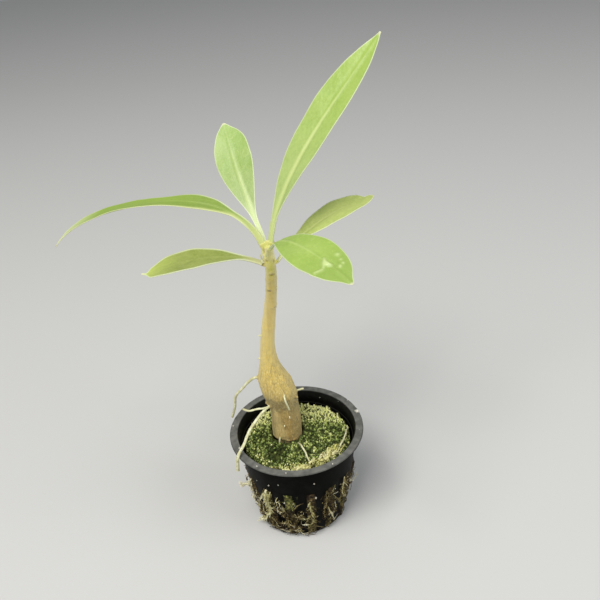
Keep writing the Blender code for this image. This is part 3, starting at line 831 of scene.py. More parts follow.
# Clumps: angle (degrees), height and spread (millimetres), shoots, tone, green.
CLUMPS = (
    (-127, 25.5, 1.8, 50, 0.85, 0.7), (-129, 20, 1.6, 34, 0.85, 0.4), (-156, 22.5, 2.2, 60, 1.0, 0.0),
    (-155, 17, 2.0, 44, 0.85, 0.1), (-103, 23, 2.8, 60, 0.5, 0.9), (-133, 12, 2.2, 40, 0.65, 0.1),
    (-115, 18.5, 2.0, 24, 0.8, 0.1), (-94, 14.5, 2.0, 40, 0.65, 0.05), (-63, 21, 3.0, 44, 0.45, 0.0),
    (-42, 22, 2.6, 44, 0.65, 0.1), (-104, 13, 1.8, 30, 0.5, 0.2), (-100, 6, 2.2, 36, 0.6, 0.0),
    (-80, 20, 1.5, 26, 0.5, 0.3), (-80, 11, 1.8, 34, 0.7, 0.15), (-82, 5, 1.8, 30, 0.65, 0.1),
    (-57, 23, 1.7, 30, 0.6, 0.0), (-56, 14, 1.8, 32, 0.55, 0.0), (-58, 6, 1.6, 26, 0.5, 0.1),
    (-34, 24, 1.8, 30, 0.6, 0.0), (-33, 15, 1.9, 30, 0.5, 0.15), (-9, 20, 1.8, 26, 0.5, 0.0),
    (60, 18, 2.0, 26, 0.5, 0.2), (110, 9, 2.2, 30, 0.6, 0.0), (158, 21, 2.0, 26, 0.55, 0.1),
)
print("hand-placed strands:", len(HANGING), "and clumps:", len(CLUMPS))

# %% Places and ways on the pot's wall
SHAGGY_SIDE = math.radians(222)       # the side where most moss hangs out


def on_wall(angle, height, out):
    """A point out from the wall's outside."""
    radius = wall_radius(height) + out
    return Vector((radius * math.cos(angle), radius * math.sin(angle), height))


def along_wall(angle, turn, lean):
    """A direction along the wall: turn 0 is up, and lean tips it outwards."""
    out = Vector((math.cos(angle), math.sin(angle), 0))
    aside = Vector((-out.y, out.x, 0))
    flat = Vector((0, 0, 1)) * math.cos(turn) + aside * math.sin(turn)
    return flat * math.cos(lean) + out * math.sin(lean)


def shagginess(angle):
    """1 on the side where most moss hangs out, falling to 0 opposite."""
    return (1 + math.cos(angle - SHAGGY_SIDE)) / 2


def inside_pot_room(place, direction, reach):
    """True if a strand from a place stays above the floor and under the lip."""
    end = place + direction * reach
    return end.z > 0.5 * MM and end.z < SHOULDER + 2 * MM and math.hypot(end.x, end.y) < LIP_RADIUS


print("wall radius at the shoulder:", round(wall_radius(SHOULDER) / MM, 1), "mm")

# %% Scatter the loose moss
STRANDS_PER_SLOT = 50
MATTED_STRANDS = 250
MAT_TOP = 14 * MM
STRAND_LENGTH = 5 * MM                 # the room that a strand of full size needs
FULL_TURN = 6.28                       # radians, rounded


def dead_tone(mean):
    """A tone round a mean, with now and then a bleached, almost white one."""
    return rng.uniform(0.85, 1.1) if rng.random() < 0.07 else max(rng.gauss(mean, 0.25), 0)


def spun(place, direction, size):
    """A matrix that stands a strand at a place, spun by chance."""
    return stand(place, direction, size, rng.uniform(0, FULL_TURN))


rng = random.Random(11)
copies = []
for index in range(SLOTS):
    for _ in range(STRANDS_PER_SLOT):
        height = rng.uniform(1.5, 26.5) * MM
        half_turn = 0.4 * SLOT_WIDTH / wall_radius(height)
        angle = slot_angle(index) + rng.uniform(-half_turn, half_turn)
        turn = rng.choice((0, math.pi)) + rng.gauss(0, 0.38)
        lean = rng.uniform(0.05, 0.35) + 0.3 * shagginess(angle) * rng.random()
        direction = along_wall(angle, turn, lean)
        place = on_wall(angle, height, -0.5 * MM)
        size = rng.uniform(0.5, 0.85)
        if inside_pot_room(place, direction, STRAND_LENGTH * size):
            copies.append((rng.randrange(3), spun(place, direction, size),
                           dead_tone(0.15 + 0.1 * shagginess(angle)), patch_of_green(place)))
while len(copies) < SLOTS * STRANDS_PER_SLOT + MATTED_STRANDS:
    angle = rng.gauss(SHAGGY_SIDE, 0.56)
    height = 1.2 * MM + MAT_TOP * rng.random() ** 1.4
    turn = rng.choice((-1, 1)) * rng.uniform(0.7, 2.3)
    direction = along_wall(angle, turn, rng.uniform(0.0, 0.3))
    place = on_wall(angle, height, rng.uniform(0.35, 1.1) * MM)
    size = rng.uniform(0.55, 0.9)
    if inside_pot_room(place, direction, STRAND_LENGTH * size):
        copies.append((rng.randrange(3), spun(place, direction, size), dead_tone(0.18),
                       0.6 * patch_of_green(place)))
print("loose strands:", len(copies))

# %% Add the clumps and the shoots along the long strands
for angle, height, spread_out, count, mean_tone, green in CLUMPS:
    for _ in range(count):
        turn = math.radians(angle) + rng.gauss(0, 0.5) * spread_out * MM / wall_radius(height * MM)
        level = height * MM + rng.gauss(0, 0.75) * spread_out * MM
        place = on_wall(turn, level, rng.uniform(-0.3, 0.9) * MM)
        direction = along_wall(turn, rng.uniform(-math.pi, math.pi), rng.uniform(0.0, 0.9))
        size = rng.uniform(0.3, 0.55)
        if inside_pot_room(place, direction, STRAND_LENGTH * size):
            tone = clamp(rng.gauss(0.75 * mean_tone, 0.25))
            copies.append((rng.randrange(3), spun(place, direction, size), tone, green))
hanging_routes = []
for diameter, mean_tone, green, crowd, route in HANGING:
    points = [on_wall(math.radians(angle), height * MM, out * MM) for angle, height, out in route]
    hanging_routes.append((points, 0.55 * diameter * MM, 0.6))
    last = len(points) - 1
    length = sum((after - before).length for before, after in zip(points, points[1:]))
    for _ in range(int(crowd * length / MM)):
        where = rng.uniform(0.3, last)
        place = spline(points, where)
        heading = (place - spline(points, where - 0.1)).normalized()
        direction = (heading + Vector([rng.gauss(0, 0.6) for _ in range(3)])).normalized()
        size = rng.uniform(0.25, 0.45) * (0.6 + 0.5 * diameter)
        if inside_pot_room(place, direction, 4 * MM * size):
            tone = clamp(rng.gauss(mean_tone, 0.2), 0, 1.1)
            copies.append((rng.randrange(2), spun(place, direction, size), tone, green))
loose_moss = scatter("loose_moss", dead_patterns, copies)
print("loose strands and shoots:", len(copies))

# %% [markdown]
# ## Long straw strands
#
# A few long strands hang from the slots in the front, and fine ones creep over
# the wall on all sides. More lie curled along the front edge of the living moss.
# They are curves, because a curve needs only the points that it passes through,
# and its bevel gives it a round thickness. The noise that shakes each route
# makes it kink as dry moss does. Blender starts that noise from the clock unless
# its seed is set, so the seed is set once and every run gives the same kinks.

# %% Long strands as curves
noise.seed_set(1)


def curve_piece(name, routes, roundness, shake, seed, knotty=0.15):
    """A mesh of round strands. Each route is (points, diameter, thinnest share)."""
    curve = bpy.data.curves.new(name, "CURVE")
    curve.dimensions = "3D"
    curve.bevel_depth = 1.0
    curve.bevel_resolution = roundness
    curve.use_fill_caps = True
    for number, (route, diameter, thinnest) in enumerate(routes):
        count = 4 * (len(route) - 1)
        line = curve.splines.new("POLY")
        line.points.add(count)
        for i in range(count + 1):
            share = i / count
            point = spline(route, (len(route) - 1) * share)
            where = Vector((seed + number * 3.1, share * len(route) * 1.7, 0))
            point = point + noise.noise_vector(where) * shake * min(4 * share, 1)
            line.points[i].co = (*point, 1)
            swell = 1 + knotty * noise.noise(where * 2.3)
            line.points[i].radius = diameter / 2 * swell * (1 - (1 - thinnest) * share ** 2)
    piece = bpy.data.objects.new(name, curve)
    bpy.context.scene.collection.objects.link(piece)
    make_active(piece)
    bpy.ops.object.convert(target="MESH")
    piece = bpy.context.object
    outward(piece)
    smooth(piece)
    return piece


def add_tones(piece, tone, slow, fast, green):
    """Stores a strand piece's tone, uneven along its strands, and its share of green."""
    places = places_of(piece)
    store(piece, "tone", [tone(p) + slow * rough(p, 2.5) + fast * rough(p, 0.7) for p in places])
    store(piece, "green", [green(p) for p in places])


print("strand helpers ready")

# %% The hanging and the fine strands
STRAND_ROUNDNESS = 1                   # the bevel's resolution, which gives six sides
FINE_STRANDS = 56
FINE_STEP = 1.5 * MM


def hanging_tone(place):
    """The tone of the listed strand that lies nearest."""
    gaps = [min((place - point).length for point in points) for points, _, _ in hanging_routes]
    return HANGING[gaps.index(min(gaps))][1]


def nearest_slot(angle):
    """The angle of the slot that lies nearest."""
    slots = [slot_angle(i) for i in range(SLOTS)]
    return min(slots, key=lambda slot: abs(math.remainder(slot - angle, 2 * math.pi)))


hanging = curve_piece("hanging_strands", hanging_routes, STRAND_ROUNDNESS, 0.3 * MM, 5.0, 0.6)
add_tones(hanging, hanging_tone, 0.3, 0.5, lambda p: 0.15 + 0.5 * patch_of_green(p))
rng = random.Random(23)
fine_routes = []
for _ in range(FINE_STRANDS):
    angle = SHAGGY_SIDE + rng.gauss(0, 0.75) if rng.random() < 0.62 else rng.uniform(0, 2 * math.pi)
    angle = nearest_slot(angle)
    height = rng.uniform(4, 22) * MM
    points = [on_wall(angle, height, -0.6 * MM)]
    heading = rng.uniform(-math.pi, math.pi)
    out = rng.uniform(0.6, 1.2) * MM
    for _ in range(rng.randrange(3, 7)):
        angle += FINE_STEP * math.sin(heading) / wall_radius(height)
        height = clamp(height + FINE_STEP * math.cos(heading), 1.4 * MM, 26 * MM)
        out = clamp(out + rng.gauss(0, 0.4) * MM, 0.45 * MM, 1.7 * MM)
        heading += rng.gauss(0, 0.7)
        points.append(on_wall(angle, height, out))
    fine_routes.append((points, rng.uniform(0.3, 0.5) * MM, 0.4))
fine = curve_piece("fine_strands", fine_routes, STRAND_ROUNDNESS, 0.35 * MM, 6.0, 0.7)
add_tones(fine, lambda p: 0.45, 0.5, 0.5, lambda p: 0.35 * patch_of_green(p))
print("hanging strands:", len(hanging_routes), "and", len(fine_routes))

# %% [markdown]
# ## Dead moss, from wet brown to pale straw
#
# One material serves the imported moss, the loose strands and the long ones. A
# colour ramp turns each point's tone into a colour, the share of green mixes in
# fresh growth, and fine noise breaks both up. Dead moss has hardly any gloss.

# %% The bog moss material
def ramp(tree, value, stops):
    """A colour ramp from (position, colour) stops."""
    made = add_node(tree, "ValToRGB", {"Fac": value})
    elements = made.color_ramp.elements
    while len(elements) < len(stops):
        elements.new(0.5)
    for element, (position, colour) in zip(elements, stops):
        element.position = position
        element.color = (*colour, 1)
    return made.outputs["Color"]


def attribute(tree, name):
    return add_node(tree, "Attribute", attribute_name=name).outputs["Fac"]


def uneven_tone(tree, flecks, strength):
    """The points' own tone, broken up by fine flecks."""
    change = maths(tree, "SUBTRACT", flecks, 0.5)
    return maths(tree, "MULTIPLY_ADD", change, strength, attribute(tree, "tone"))


bog_moss, tree, shader, place = make_material("bog_moss", 0.9, 0.2)
flecks = soft_noise(tree, place, 2200.0)
tone = uneven_tone(tree, flecks, 0.5)
straw = ramp(tree, tone, [
    (0.0, (0.012, 0.008, 0.004)), (0.25, (0.05, 0.033, 0.012)), (0.5, (0.14, 0.1, 0.038)),
    (0.75, (0.38, 0.31, 0.13)), (0.9, (0.72, 0.64, 0.36)), (1.0, (0.95, 0.92, 0.7))])
fresh = ramp(tree, tone, [
    (0.0, (0.015, 0.02, 0.006)), (0.45, (0.11, 0.125, 0.035)), (1.0, (0.7, 0.68, 0.22))])
dress(tree, shader, mix(tree, attribute(tree, "green"), straw, fresh), flecks, 0.12 * MM, 0.8)
hand_over(medium, "packed_moss", "sphagnum", bog_moss, "sphagnum_fill")
for strands in (loose_moss, hanging, fine):
    hand_over(strands, strands.name, "sphagnum", bog_moss)

# %% [markdown]
# ## The living moss
#
# Live moss covers the medium as a low cushion, with dark gaps between crowded
# shoots. The cushion under the shoots is a ring of circles, from the hole that
# the stem stands in to a little short of the wall. It is grown ring by ring,
# subdivided, and then raised into tufts by a cell pattern, the same one that
# gave the plain solid its tufts.

# %% The cushion under the shoots
MOSS_TOP = 38.4 * MM
MOSS_DOME = 1.2 * MM
MOSS_RADIUS = 21.8 * MM
MOSS_TUFT = 2.8 * MM
MOSS_RELIEF = 1.9 * MM
MOSS_HOLLOW = Vector((-8.4 * MM, -9.4 * MM))
MOSS_HOLLOW_RADIUS = 2.6 * MM
MOSS_HOLLOW_DEPTH = 2.2 * MM
MOSS_FRESH = ((-16.2, -7.7), (-14.0, -14.6), (-4.6, -16.4), (4.5, 15.0), (16.5, -10.5), (12.5, 14.0))
MOSS_ROUND = 1.2 * MM
MOSS_SINK = 0.5 * MM                # the shoots stand this far into their bed
stem_radius, _, stem_x, stem_y = stem_at(MOSS_TOP)
STEM_FOOT = Vector((stem_x, stem_y))


def tufted(x, y):
    """1 in the middle of a fresh tuft, falling to 0 round it."""
    return max(math.exp(-((x / MM - u) ** 2 + (y / MM - v) ** 2) / 5) for u, v in MOSS_FRESH)


def moss_height(x, y):
    """The moss surface: a low dome of crowded tufts, fading at its edges."""
    radius = math.hypot(x, y)
    dome = MOSS_TOP + MOSS_DOME * (1 - (radius / MOSS_RADIUS) ** 2)
    tuft = noise.voronoi(Vector((x / MOSS_TUFT, y / MOSS_TUFT, 0.3)))[0]
    lump = 1 - min(tuft[0] * 1.6, 1.0) ** 1.5
    away = (Vector((x, y)) - MOSS_HOLLOW).length / MOSS_HOLLOW_RADIUS
    front = 1 - smooth_step((y / MOSS_RADIUS + 0.4) / 0.8)
    fade = MOSS_ROUND * smooth_step((radius / MOSS_RADIUS - 0.85) / 0.15) * (0.25 + 0.75 * front)
    from_stem = ((Vector((x, y)) - STEM_FOOT).length / MM - stem_radius / MM) ** 2
    round_stem = 0.5 * MM * math.exp(-from_stem / 2)
    height = dome + MOSS_RELIEF * (lump - 0.6) + 0.7 * MM * (1 - front) - fade - round_stem
    return height + 0.5 * MM * tufted(x, y) - MOSS_HOLLOW_DEPTH * bell(away)


BED_RINGS = 14
BED_SIDES = 72
hole_radius = stem_radius + HOLE_CLEARANCE
bed_base = MEDIUM_TOP + GAP
bed_rings = []
for i in range(BED_RINGS):
    share = i / (BED_RINGS - 1)
    bed_rings.append((hole_radius + (MOSS_RADIUS - hole_radius) * share, MOSS_TOP,
                      STEM_FOOT.x * (1 - share), STEM_FOOT.y * (1 - share)))
bed_rings.append((MOSS_RADIUS, bed_base, 0, 0))
bed_rings += [(radius, bed_base, x, y) for radius, _, x, y in bed_rings[BED_RINGS - 2:0:-4]]
bed_rings.append((hole_radius, bed_base, STEM_FOOT.x, STEM_FOOT.y))
bed = start_ring(bed_rings[0], BED_SIDES, "NOTHING")
grow_rings(bed_rings)
edit(bed, "EDGE")
bpy.ops.mesh.select_non_manifold()
bpy.ops.mesh.bridge_edge_loops()
outward(bed)
select_faces(bed, lambda centre, normal: normal.z > 0.9)
bpy.ops.mesh.subdivide(number_cuts=1)
bpy.ops.object.mode_set(mode="OBJECT")
for point in bed.data.vertices:
    if point.co.z > MOSS_TOP - 0.1 * MM:
        point.co.z = moss_height(point.co.x, point.co.y) - MOSS_SINK
places = places_of(bed)
store(bed, "tone", [0.3 + 0.3 * rough(p, 1.5) for p in places])
store(bed, "green", [0.4] * len(places))
store(bed, "tip", [0.0] * len(places))
print("cushion points:", len(places))

# %% [markdown]
# ## Moss shoots
#
# A moss shoot is a tiny stem with pointed leaves in a spiral. Three kinds are modelled: an upright star, a
# longer leaning feather, and a small bud for the gaps. They stand on a shaken grid, so that they crowd
# evenly without rows, and lean every way. Where the real moss is fresh and yellow, at the back and the
# right, the tone is high. Where it is old and dark, on the left, it is low. The back is raised further
# still, as painted light against the shade of the pot's wall, and the hollow on the front left is darker,
# as painted shade.

# %% Plant the shoots
def in_mm(points):
    """Places given in millimetres, as vectors in metres."""
    return [Vector(point) * MM for point in points]


SHOOT_SPACING = 0.84 * MM
KINDS = (0, 0, 0, 0, 1, 2, 2, 2)       # how often each kind of shoot comes
# Where the fringe of straw lies, seen from above.
FRINGE_PATH = in_mm((
    (-12.3, -15.4), (-9.2, -18.5), (-5.6, -20.0), (-1.7, -19.4), (2.3, -18.8),
    (6.3, -17.1), (10.5, -14.3), (13.1, -11.8), (17.1, -8.2), (19.8, -5.0)))
moss_patterns = [
    leafy_shoot(1.4 * MM, 10, 0.75 * MM, 0.42 * MM, 80, 40, 0.1 * MM),
    leafy_shoot(1.5 * MM, 11, 0.65 * MM, 0.36 * MM, 75, 35, 0.4 * MM),
    leafy_shoot(1.0 * MM, 8, 0.7 * MM, 0.4 * MM, 85, 35, 0.0),
]


def moss_tone(x, y):
    """How fresh the moss is: high at the back and right, low on the left. The back also holds painted
    light, and the hollow painted shade.
    """
    spot = Vector((x, y, 0))
    freshness = 0.34 + 0.08 * x / MOSS_RADIUS + 0.35 * tufted(x, y)
    # Part of this rise at the back is painted light against the shade of the pot's wall.
    freshness += 0.95 * smooth_step(y / (14 * MM) - 0.1) + 0.25 * smooth_step(-y / (9 * MM) - 1)
    freshness += 0.45 * rough(spot, 4) + 0.4 * rough(spot, 0.9)
    rim = smooth_step((math.hypot(x, y) / MOSS_RADIUS - 0.72) / 0.25)
    # The hollow's darker tone is painted shade.
    shade = bell((Vector((x, y)) - MOSS_HOLLOW).length / (1.3 * MOSS_HOLLOW_RADIUS))
    return freshness + 0.2 * rim - 0.45 * shade


rng = random.Random(8)
copies = []
reach = int(MOSS_RADIUS / SHOOT_SPACING) + 2
for row in range(-reach, reach + 1):
    for column in range(-reach, reach + 1):
        x = (column + 0.5 * (row % 2) + rng.uniform(-0.4, 0.4)) * SHOOT_SPACING
        y = (row + rng.uniform(-0.4, 0.4)) * 0.87 * SHOOT_SPACING
        spot = Vector((x, y))
        from_stem = (spot - STEM_FOOT).length
        radius = math.hypot(x, y)
        in_front = y < STEM_FOOT.y - 0.6 * stem_radius and x > STEM_FOOT.x - 0.5 * stem_radius
        if radius > MOSS_RADIUS - 0.2 * MM or from_stem < stem_radius + (2.1 if in_front else 1.0) * MM:
            continue
        if (spot - MOSS_HOLLOW).length < 0.8 * MOSS_HOLLOW_RADIUS and rng.random() < 0.7:
            continue
        if min((spot - place).length for place in FRINGE_PATH) < 1.3 * MM and rng.random() < 0.7:
            continue
        lean = rng.uniform(0.1, 0.85)
        way = rng.uniform(0, 2 * math.pi)
        if radius > MOSS_RADIUS - 2 * MM:
            lean *= 0.6
            way = math.atan2(-y, -x) + rng.uniform(-1.2, 1.2) * (1 if x > -8 * MM else 2.6)
        if from_stem < stem_radius + 2.6 * MM:
            way = math.atan2(y - STEM_FOOT.y, x - STEM_FOOT.x)
            lean = rng.uniform(0.2, 0.5)
        foot = Vector((x, y, moss_height(x, y) - MOSS_SINK - 0.3 * MM))
        tone = clamp(moss_tone(x, y) + rng.gauss(0, 0.22), 0, 1.35)
        kind = rng.choice(KINDS)
        copies.append((kind, spun(foot, leaning(way, lean), rng.uniform(0.7, 1.1)), tone, 1.0))
shoots = scatter("moss_shoots", moss_patterns, copies)
print("moss shoots:", len(copies))

# %% [markdown]
# ## Straw along the moss's front edge
#
# Between the moss and the front of the rim lies a fringe of dry, pale strands, curled over each other. The
# fringe has its own path, through listed points. Each strand starts somewhere on it, wanders along it, and
# stays low on the moss.

# %% The straw fringe
FRINGE_STRANDS = 170
rng = random.Random(31)
fringe_routes = []
for _ in range(FRINGE_STRANDS):
    along = rng.triangular(0.2, len(FRINGE_PATH) - 1.4, 0.6 * len(FRINGE_PATH))
    step = rng.choice((-1, 1)) * rng.uniform(0.12, 0.26)
    aside = Vector((rng.gauss(0, 0.7) * MM, rng.gauss(0, 0.7) * MM))
    lift = rng.uniform(0.3, 1.4) * MM
    points = []
    for _ in range(rng.randrange(4, 6)):
        place = spline(FRINGE_PATH, clamp(along, 0, len(FRINGE_PATH) - 1)) + aside
        points.append(Vector((*place, moss_height(*place) + lift)))
        along += step
        aside += Vector((rng.gauss(0, 0.35) * MM, rng.gauss(0, 0.35) * MM))
        lift = clamp(lift + rng.gauss(0, 0.3) * MM, 0.2 * MM, 1.6 * MM)
    fringe_routes.append((points, rng.uniform(0.35, 0.65) * MM, 0.4))
fringe = curve_piece("straw_fringe", fringe_routes, STRAND_ROUNDNESS, 0.5 * MM, 9.0, 0.6)
add_tones(fringe, lambda p: 0.94, 0.6, 1.0, lambda p: max(0.0, 0.68 + 0.7 * rough(p, 4)))
hand_over(fringe, "straw_fringe", "moss", bog_moss)

# %% [markdown]
# ## Living moss, dark below and bright at the tips
#
# Light hardly reaches the foot of a moss cushion, so the shoots are dark there
# and bright at their tips. The stored tip share drives that change, and the
# tone shifts the bright end from deep green to yellow green. Fine noise breaks
# both up, and gives the tiny leaves a little relief.

# %% The living moss material
living, tree, shader, place = make_material("living_moss", 0.7, 0.2)
flecks = soft_noise(tree, place, 1700.0)
tone = uneven_tone(tree, flecks, 0.45)
deep = ramp(tree, tone, [(0.0, (0.01, 0.015, 0.003)), (1.0, (0.16, 0.19, 0.04))])
bright = ramp(tree, tone, [
    (0.0, (0.08, 0.14, 0.03)), (0.35, (0.31, 0.43, 0.12)), (0.65, (0.69, 0.8, 0.235)),
    (1.0, (0.99, 1.0, 0.49))])
lit = maths(tree, "MULTIPLY_ADD", attribute(tree, "tone"), 0.5, attribute(tree, "tip"))
dress(tree, shader, mix(tree, span(tree, lit, 0.5, 1.05), deep, bright), flecks, 0.08 * MM, 0.5)
hand_over(bed, "moss_bed", "moss", living, "moss_cushion")
hand_over(shoots, "moss_shoots", "moss", living)

# %% [markdown]
# ## How a leaf runs through space
#
# The six leaves are one kind of shape with six sets of numbers. A leaf starts
# at the stem and walks forward in short steps. At each step it has a heading
# round the plant, a rise above the horizon and a twist about its own midrib.
# Each of these changes smoothly along the leaf, through two to five evenly
# spaced values that were read from the photograph.
#
# The paths come before the stem, because the stem grows a small cushion under
# every leaf stalk.

# %% The leaves' paths
def leaf_shape(start, turn, rise, twist, length, half, stalk, share, fold, outline, hook,
               base_shift=0.0, point=0.0, ridge=1.0, pale=0.0):
    """One leaf's numbers: millimetres, degrees and shares of its length."""
    return locals()


LEAVES = {
    "leaf_left_long": leaf_shape((-5.9, 3.5, 126.2), (152.5, 183), (75.7, 14.4, -5.4, -17.4, -51),
                                 (-62, -12, 9.5, 7.5, -5), 90.7, 7.6, 1.2, 0.16, 4, (1.0, 1.1), 0, 0.4,
                                 ridge=0.3, pale=0.6),
    "leaf_right_long": leaf_shape((-2.3, 3.9, 126.6), (12.6, 19.1), (82, 58.3, 48.6, 50.2), (17, 24, 23.5),
                                  80.3, 6.8, 1.55, 0.1, 6, (1.15, 0.92), 0, -0.6),
    "leaf_back_left": leaf_shape((-5.1, 6.4, 123.8), (112, 103.5), (61, 38, 40, 41.5), (-11, -29, -12),
                                 53.2, 7.1, 0.95, 0.16, 2, (1.55, 0.8), 0, 0.7, 0.12, ridge=0.5),
    "leaf_front_right": leaf_shape((-2.8, 1.1, 123.5), (-72.5, -48.5), (63, 20, -3, -24), (9, 14, 3),
                                   55.3, 7.75, 0.9, 0.12, 0, (1.4, 0.77), 0, -1.2, 0.18),
    "leaf_left_low": leaf_shape((-6.2, 3.7, 119.2), (183, 180.5), (31.5, 5, -10, -31), (-18, -9, -4),
                                45.0, 6.3, 1.25, 0.13, 6, (1.2, 0.75), 52, 0.0, 0.72, ridge=0.4),
    "leaf_back_right": leaf_shape((-0.9, 4.3, 119.4), (20, 18.5), (43.5, 28.5, 15.5, -4.5), (1, 4, 4),
                                  43.5, 6.4, 1.0, 0.14, 4, (1.1, 0.8), 25, ridge=0.4),
}


def through(values, s):
    """The smooth curve through evenly spaced values, at s from 0 to 1."""
    last = len(values) - 1
    total = 0.0
    for i, value in enumerate(values):
        weight = 1.0
        for j in range(len(values)):
            if j != i:
                weight *= (s * last - j) / (i - j)
        total += value * weight
    return total


def leaf_heading(leaf, s):
    """The way that the leaf runs at s, and its turn round the plant."""
    rise = through(leaf["rise"], s) + leaf["hook"] * max((s - 0.86) / 0.14, 0.0) ** 2
    rise, turn = math.radians(rise), math.radians(through(leaf["turn"], s))
    return Vector((math.cos(rise) * math.cos(turn), math.cos(rise) * math.sin(turn), math.sin(rise))), turn


def leaf_frame(leaf, s, steps=48):
    """A point of the midrib, with the ways along, across and up from the leaf."""
    point = Vector(leaf["start"]) * MM
    for i in range(steps):
        step = clamp(s * steps - i)
        point += leaf_heading(leaf, (i + 0.5) / steps)[0] * step * leaf["length"] * MM / steps
    point.x += leaf["base_shift"] * MM * (1 - smooth_step(s / 0.25))
    along, turn = leaf_heading(leaf, s)
    level = Vector((-math.sin(turn), math.cos(turn), 0))
    twist = math.radians(through(leaf["twist"], s))
    across = level * math.cos(twist) + along.cross(level) * math.sin(twist)
    return point, along, across, along.cross(across)


for name, leaf in LEAVES.items():
    print(name, "ends at", [round(value / MM, 1) for value in leaf_frame(leaf, 1.0)[0]], "mm")

# %% [markdown]
# ## The caudex and stem
#
# An ant plant stores water in its swollen stem base, the caudex. Caudex and
# stem are one body of changing round sections, so they are grown ring by ring
# through the stations. Slow waves make the body slightly lobed, and low rings
# mark where fallen leaves once stood.
#
# Cushions under the stalks, collars at the roots and a few small knobs are
# cones and balls sunk into that body. A voxel remesh melts them all into one
# continuous skin, as living bark has, which a plain join would not.

# %% Roots, knobs and cushions
# Each root's diameter in millimetres, its last diameter as a share, and its route.
AERIAL_ROOTS = {
    "left_hook": (1.15, 0.85, ((-8, 3.7, 67.5), (-14, 3.8, 68), (-16.9, 4.6, 66), (-20.5, 5.5, 61.6),
                              (-23.6, 6.4, 57.4), (-24.6, 7.2, 51.6), (-26.6, 8, 45.3))),
    "left_short": (0.8, 1.0, ((-7, 1.5, 56), (-11.4, -1.5, 56.4), (-14.8, -2.5, 57), (-18, -3, 56.8),
                              (-20.4, -3, 58.1))),
    "over_rim": (1.15, 1.15, ((-7, 1.5, 56.6), (-11.2, -1.5, 56), (-15.2, -4.2, 53.3), (-18.5, -7.8, 50.6),
                              (-20.8, -11.5, 47.6), (-22.8, -14.2, 45.6), (-23.7, -15.4, 43.9),
                              (-24.1, -15.4, 41.4), (-24.5, -15.0, 37))),
    "front_bead": (0.7, 1.0, ((-3.5, -2.2, 62.9), (-3.3, -3.6, 61.6), (-2.7, -3.8, 59), (-2, -3.6, 56.2))),
    "back_right": (0.8, 1.0, ((-2.5, 4.2, 57.6), (1.1, 5.2, 58.4), (4.4, 6, 58.7))),
    "on_moss": (0.75, 0.8, ((0.2, -3.0, 37.6), (1.0, -6.2, 40.0), (1.8, -9.4, 41.2), (2.9, -12.4, 41.2),
                            (3.5, -15.0, 41.0), (4.2, -16.8, 40.4))),
}
# Knobs: place and radius in millimetres.
KNOBS = (
    ((-2.2, 3.0, 108.6), 0.5), ((-12.6, 2.2, 67.2), 0.8), ((1.5, 0.8, 58.6), 0.6),
    ((1.3, 0.1, 56.6), 0.5), ((-3.4, 2.1, 116.0), 0.8), ((-4.9, 2.1, 109.0), 0.7),
    ((-10.8, 1.0, 57.0), 0.9),
)
BUD_TIP = Vector((-3.6, 4.3, 127.5)) * MM
# A cushion's reach up the stalk, its drop below it and its root's radius, in millimetres.
CUSHIONS = {"leaf_front_right": (5.0, 2.5, 1.8), "leaf_left_low": (0.2, 0.8, 0.9),
            "leaf_back_right": (0.2, 0.8, 0.9)}
print("aerial roots:", len(AERIAL_ROOTS), "and knobs:", len(KNOBS))

# %% Grow the body and melt its parts together
STEM_SIDES = 48
SCAR_RINGS = (92.0, 101.5, 112.5)   # millimetres, where leaves once stood
CAUDEX_FOOT = 38.5                  # millimetres, where the swollen part ends,
FOOT_AT = (-4.0, -3.5)              # at this place, seen from above
FOOT_TILT = 0.17                    # it ends lower on the right
FOOT_SLOPE = 0.3                    # and lower at the back
UNDERCUT = 0.24                     # how much slimmer the body is below, as a share
SKIN_CELL = 0.3 * MM


def add_ball(place, radius):
    bpy.ops.mesh.primitive_ico_sphere_add(subdivisions=2, radius=radius)
    bpy.context.object.data.transform(Matrix.Translation(place))
    return bpy.context.object


rings = [stem_at(height * MM) for height in spread(STEM_STATIONS[0][0], STEM_STATIONS[-1][0], 220)]
crown = rings[-1]
for narrower, higher in ((0.82, 0.35), (0.45, 0.55)):
    rings.append((crown[0] * narrower, crown[1] + higher * MM, *crown[2:]))
body = grow_solid(rings, STEM_SIDES)
for point in body.data.vertices:
    height = point.co.z / MM
    centre = Vector(stem_at(point.co.z)[2:])
    out = point.co.xy - centre
    angle = math.atan2(out.y, out.x)
    swell = 1 + 0.022 * math.sin(3 * angle + height / 9) + 0.012 * math.sin(7 * angle - height / 5)
    swell += sum(0.05 * bell((height - ring) / 0.8) for ring in SCAR_RINGS)
    foot = CAUDEX_FOOT - FOOT_TILT * (point.co.x / MM - FOOT_AT[0])
    foot -= FOOT_SLOPE * (point.co.y / MM - FOOT_AT[1])
    swell -= UNDERCUT * smooth_step((foot - height) / 0.5 + 0.5)
    point.co.xy = centre + out * swell
parts = [body]
for name, leaf in LEAVES.items():
    start, along, across, upper = leaf_frame(leaf, 0.0)
    middle = start - upper * 0.7 * MM
    reach, drop, radius = CUSHIONS.get(name, (0.6, 2.5, 1.5))
    _, z, x, y = stem_at(min(middle.z, crown[1]) - drop * MM)
    tip_radius = (0.1 + leaf["stalk"] * (1 if reach > 0.5 else 0.6)) * MM
    parts.append(add_cone((x, y, z), middle + along * reach * MM, radius * MM, tip_radius))
parts.append(add_cone((x, STEM_Y, crown[1] - 2 * MM), BUD_TIP, 1.7 * MM, 0.7 * MM))
for diameter, _, route in AERIAL_ROOTS.values():
    base, after = Vector(route[0]) * MM, Vector(route[1]) * MM
    _, z, x, y = stem_at(base.z)
    way = (after - Vector((x, y, z))).normalized()
    skin = Vector((x, y, z)) + way * (stem_at(z)[0] + 0.6 * MM)
    parts.append(add_cone(skin - way * 3 * MM, skin, 1.9 * MM, 0.62 * diameter * MM))
parts += [add_ball(Vector(place) * MM, radius * MM) for place, radius in KNOBS]
body = join(parts, "caudex_and_stem")
melt = body.modifiers.new("melt", "REMESH")
melt.mode = "VOXEL"
melt.voxel_size = SKIN_CELL
